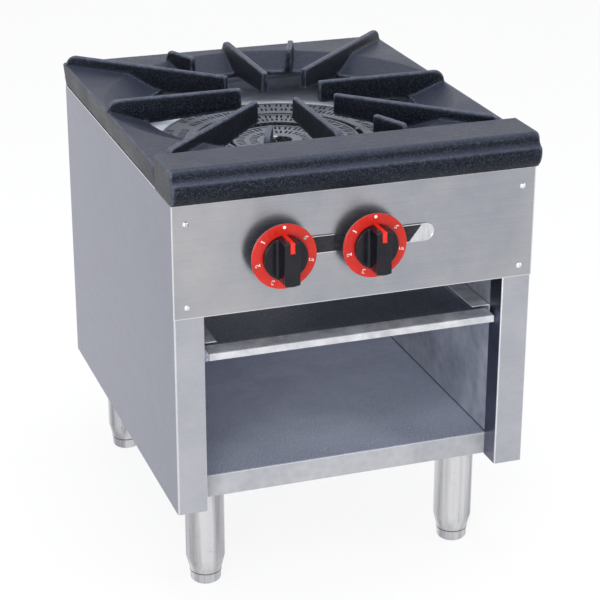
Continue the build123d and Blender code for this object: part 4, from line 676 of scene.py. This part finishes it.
# ---- Floor, light and camera --------------------------------------------------------------------
def pale_floor(half, white_share):
    """A matt floor, of which the camera sees a share as plain white."""
    mesh = bpy.data.meshes.new("floor")
    corners = [(-half, -half, 0), (half, -half, 0), (half, half, 0), (-half, half, 0)]
    mesh.from_pydata(corners, [], [(0, 1, 2, 3)])
    floor = bpy.data.objects.new("floor", mesh)
    bpy.context.scene.collection.objects.link(floor)
    f = Finish("pale_floor")
    f.set("Roughness", 0.8)
    f.set("Base Color", f.mix(f.noise(3.0, 3.0), (0.86, 0.86, 0.86), (0.9, 0.9, 0.9)))
    white = f.add("ShaderNodeEmission")
    white.inputs["Color"].default_value = WHITE
    rays = f.add("ShaderNodeLightPath")
    seen = f.math("MAXIMUM", rays.outputs["Is Camera Ray"], rays.outputs["Is Glossy Ray"])
    blend = f.add("ShaderNodeMixShader")
    f.join(blend, 0, f.math("MULTIPLY", seen, white_share))
    f.tree.links.new(f.shader.outputs[0], blend.inputs[1])
    f.tree.links.new(white.outputs[0], blend.inputs[2])
    f.tree.links.new(blend.outputs[0], f.tree.nodes["Material Output"].inputs["Surface"])
    mesh.materials.append(f.material)


def white_room(strength):
    """Even light from all round, white to the camera and in reflections."""
    world = bpy.data.worlds.new("room")
    bpy.context.scene.world = world
    world.use_nodes = True
    tree = world.node_tree
    lit = tree.nodes["Background"]
    lit.inputs["Color"].default_value = (0.93, 0.96, 1.0, 1.0)
    lit.inputs["Strength"].default_value = strength
    seen = tree.nodes.new("ShaderNodeBackground")
    seen.inputs["Color"].default_value = WHITE
    rays = tree.nodes.new("ShaderNodeLightPath")
    plain = rays.outputs["Is Camera Ray"]
    for kind in ("Is Transmission Ray", "Is Glossy Ray"):
        either = tree.nodes.new("ShaderNodeMath")
        either.operation = "MAXIMUM"
        tree.links.new(plain, either.inputs[0])
        tree.links.new(rays.outputs[kind], either.inputs[1])
        plain = either.outputs[0]
    blend = tree.nodes.new("ShaderNodeMixShader")
    tree.links.new(plain, blend.inputs[0])
    tree.links.new(lit.outputs[0], blend.inputs[1])
    tree.links.new(seen.outputs[0], blend.inputs[2])
    tree.links.new(blend.outputs[0], tree.nodes["World Output"].inputs["Surface"])


def softbox(name, place, target, size, power):
    """A rectangular area light that faces a target."""
    light = bpy.data.lights.new(name, "AREA")
    light.shape = "RECTANGLE"
    light.size, light.size_y = size
    light.energy = power
    lamp = bpy.data.objects.new(name, light)
    lamp.location = place
    direction = Vector(target) - Vector(place)
    lamp.rotation_euler = direction.to_track_quat("-Z", "Y").to_euler()
    bpy.context.scene.collection.objects.link(lamp)


def view_camera():
    """The camera that the photograph's corners give."""
    azimuth, elevation, roll = radians(-19.29), radians(22.22), radians(0.10)
    distance, right_shift, up_shift = 2.538, 0.0168, -0.0046
    focal_pixels, image_pixels, sensor = 1898.0, 600.0, 36.0
    target = Vector((0, -0.0004, 0.300))
    back = Vector((sin(azimuth) * cos(elevation), -cos(azimuth) * cos(elevation), sin(elevation)))
    right = Vector((cos(azimuth), sin(azimuth), 0))
    up = back.cross(right)
    right, up = cos(roll) * right + sin(roll) * up, cos(roll) * up - sin(roll) * right
    data = bpy.data.cameras.new("view")
    data.sensor_width = sensor
    data.lens = sensor * focal_pixels / image_pixels
    data.clip_start, data.clip_end = 0.05, 60
    camera = bpy.data.objects.new("view", data)
    turn = Matrix((right, up, back)).transposed()
    camera.matrix_world = Matrix.Translation(target + back * distance + right * right_shift
                                             + up * up_shift) @ turn.to_4x4()
    bpy.context.scene.collection.objects.link(camera)
    bpy.context.scene.camera = camera


pale_floor(half=14.0, white_share=0.86)
white_room(strength=0.80)
softbox("key", (-1.6, -2.2, 2.6), target=(0, 0, 0.35), size=(1.6, 1.6), power=22)
softbox("fill", (2.4, -1.4, 1.6), target=(0, 0, 0.35), size=(1.6, 1.6), power=12)
softbox("low", (-1.25, -2.45, 0.62), target=(0, 0.1, 0.2), size=(1.6, 0.7), power=42)
softbox("top", (0.0, -0.1, 2.4), target=(0, 0.05, 0.5), size=(0.9, 0.9), power=22)
view_camera()
bpy.context.scene.view_settings.view_transform = "Standard"
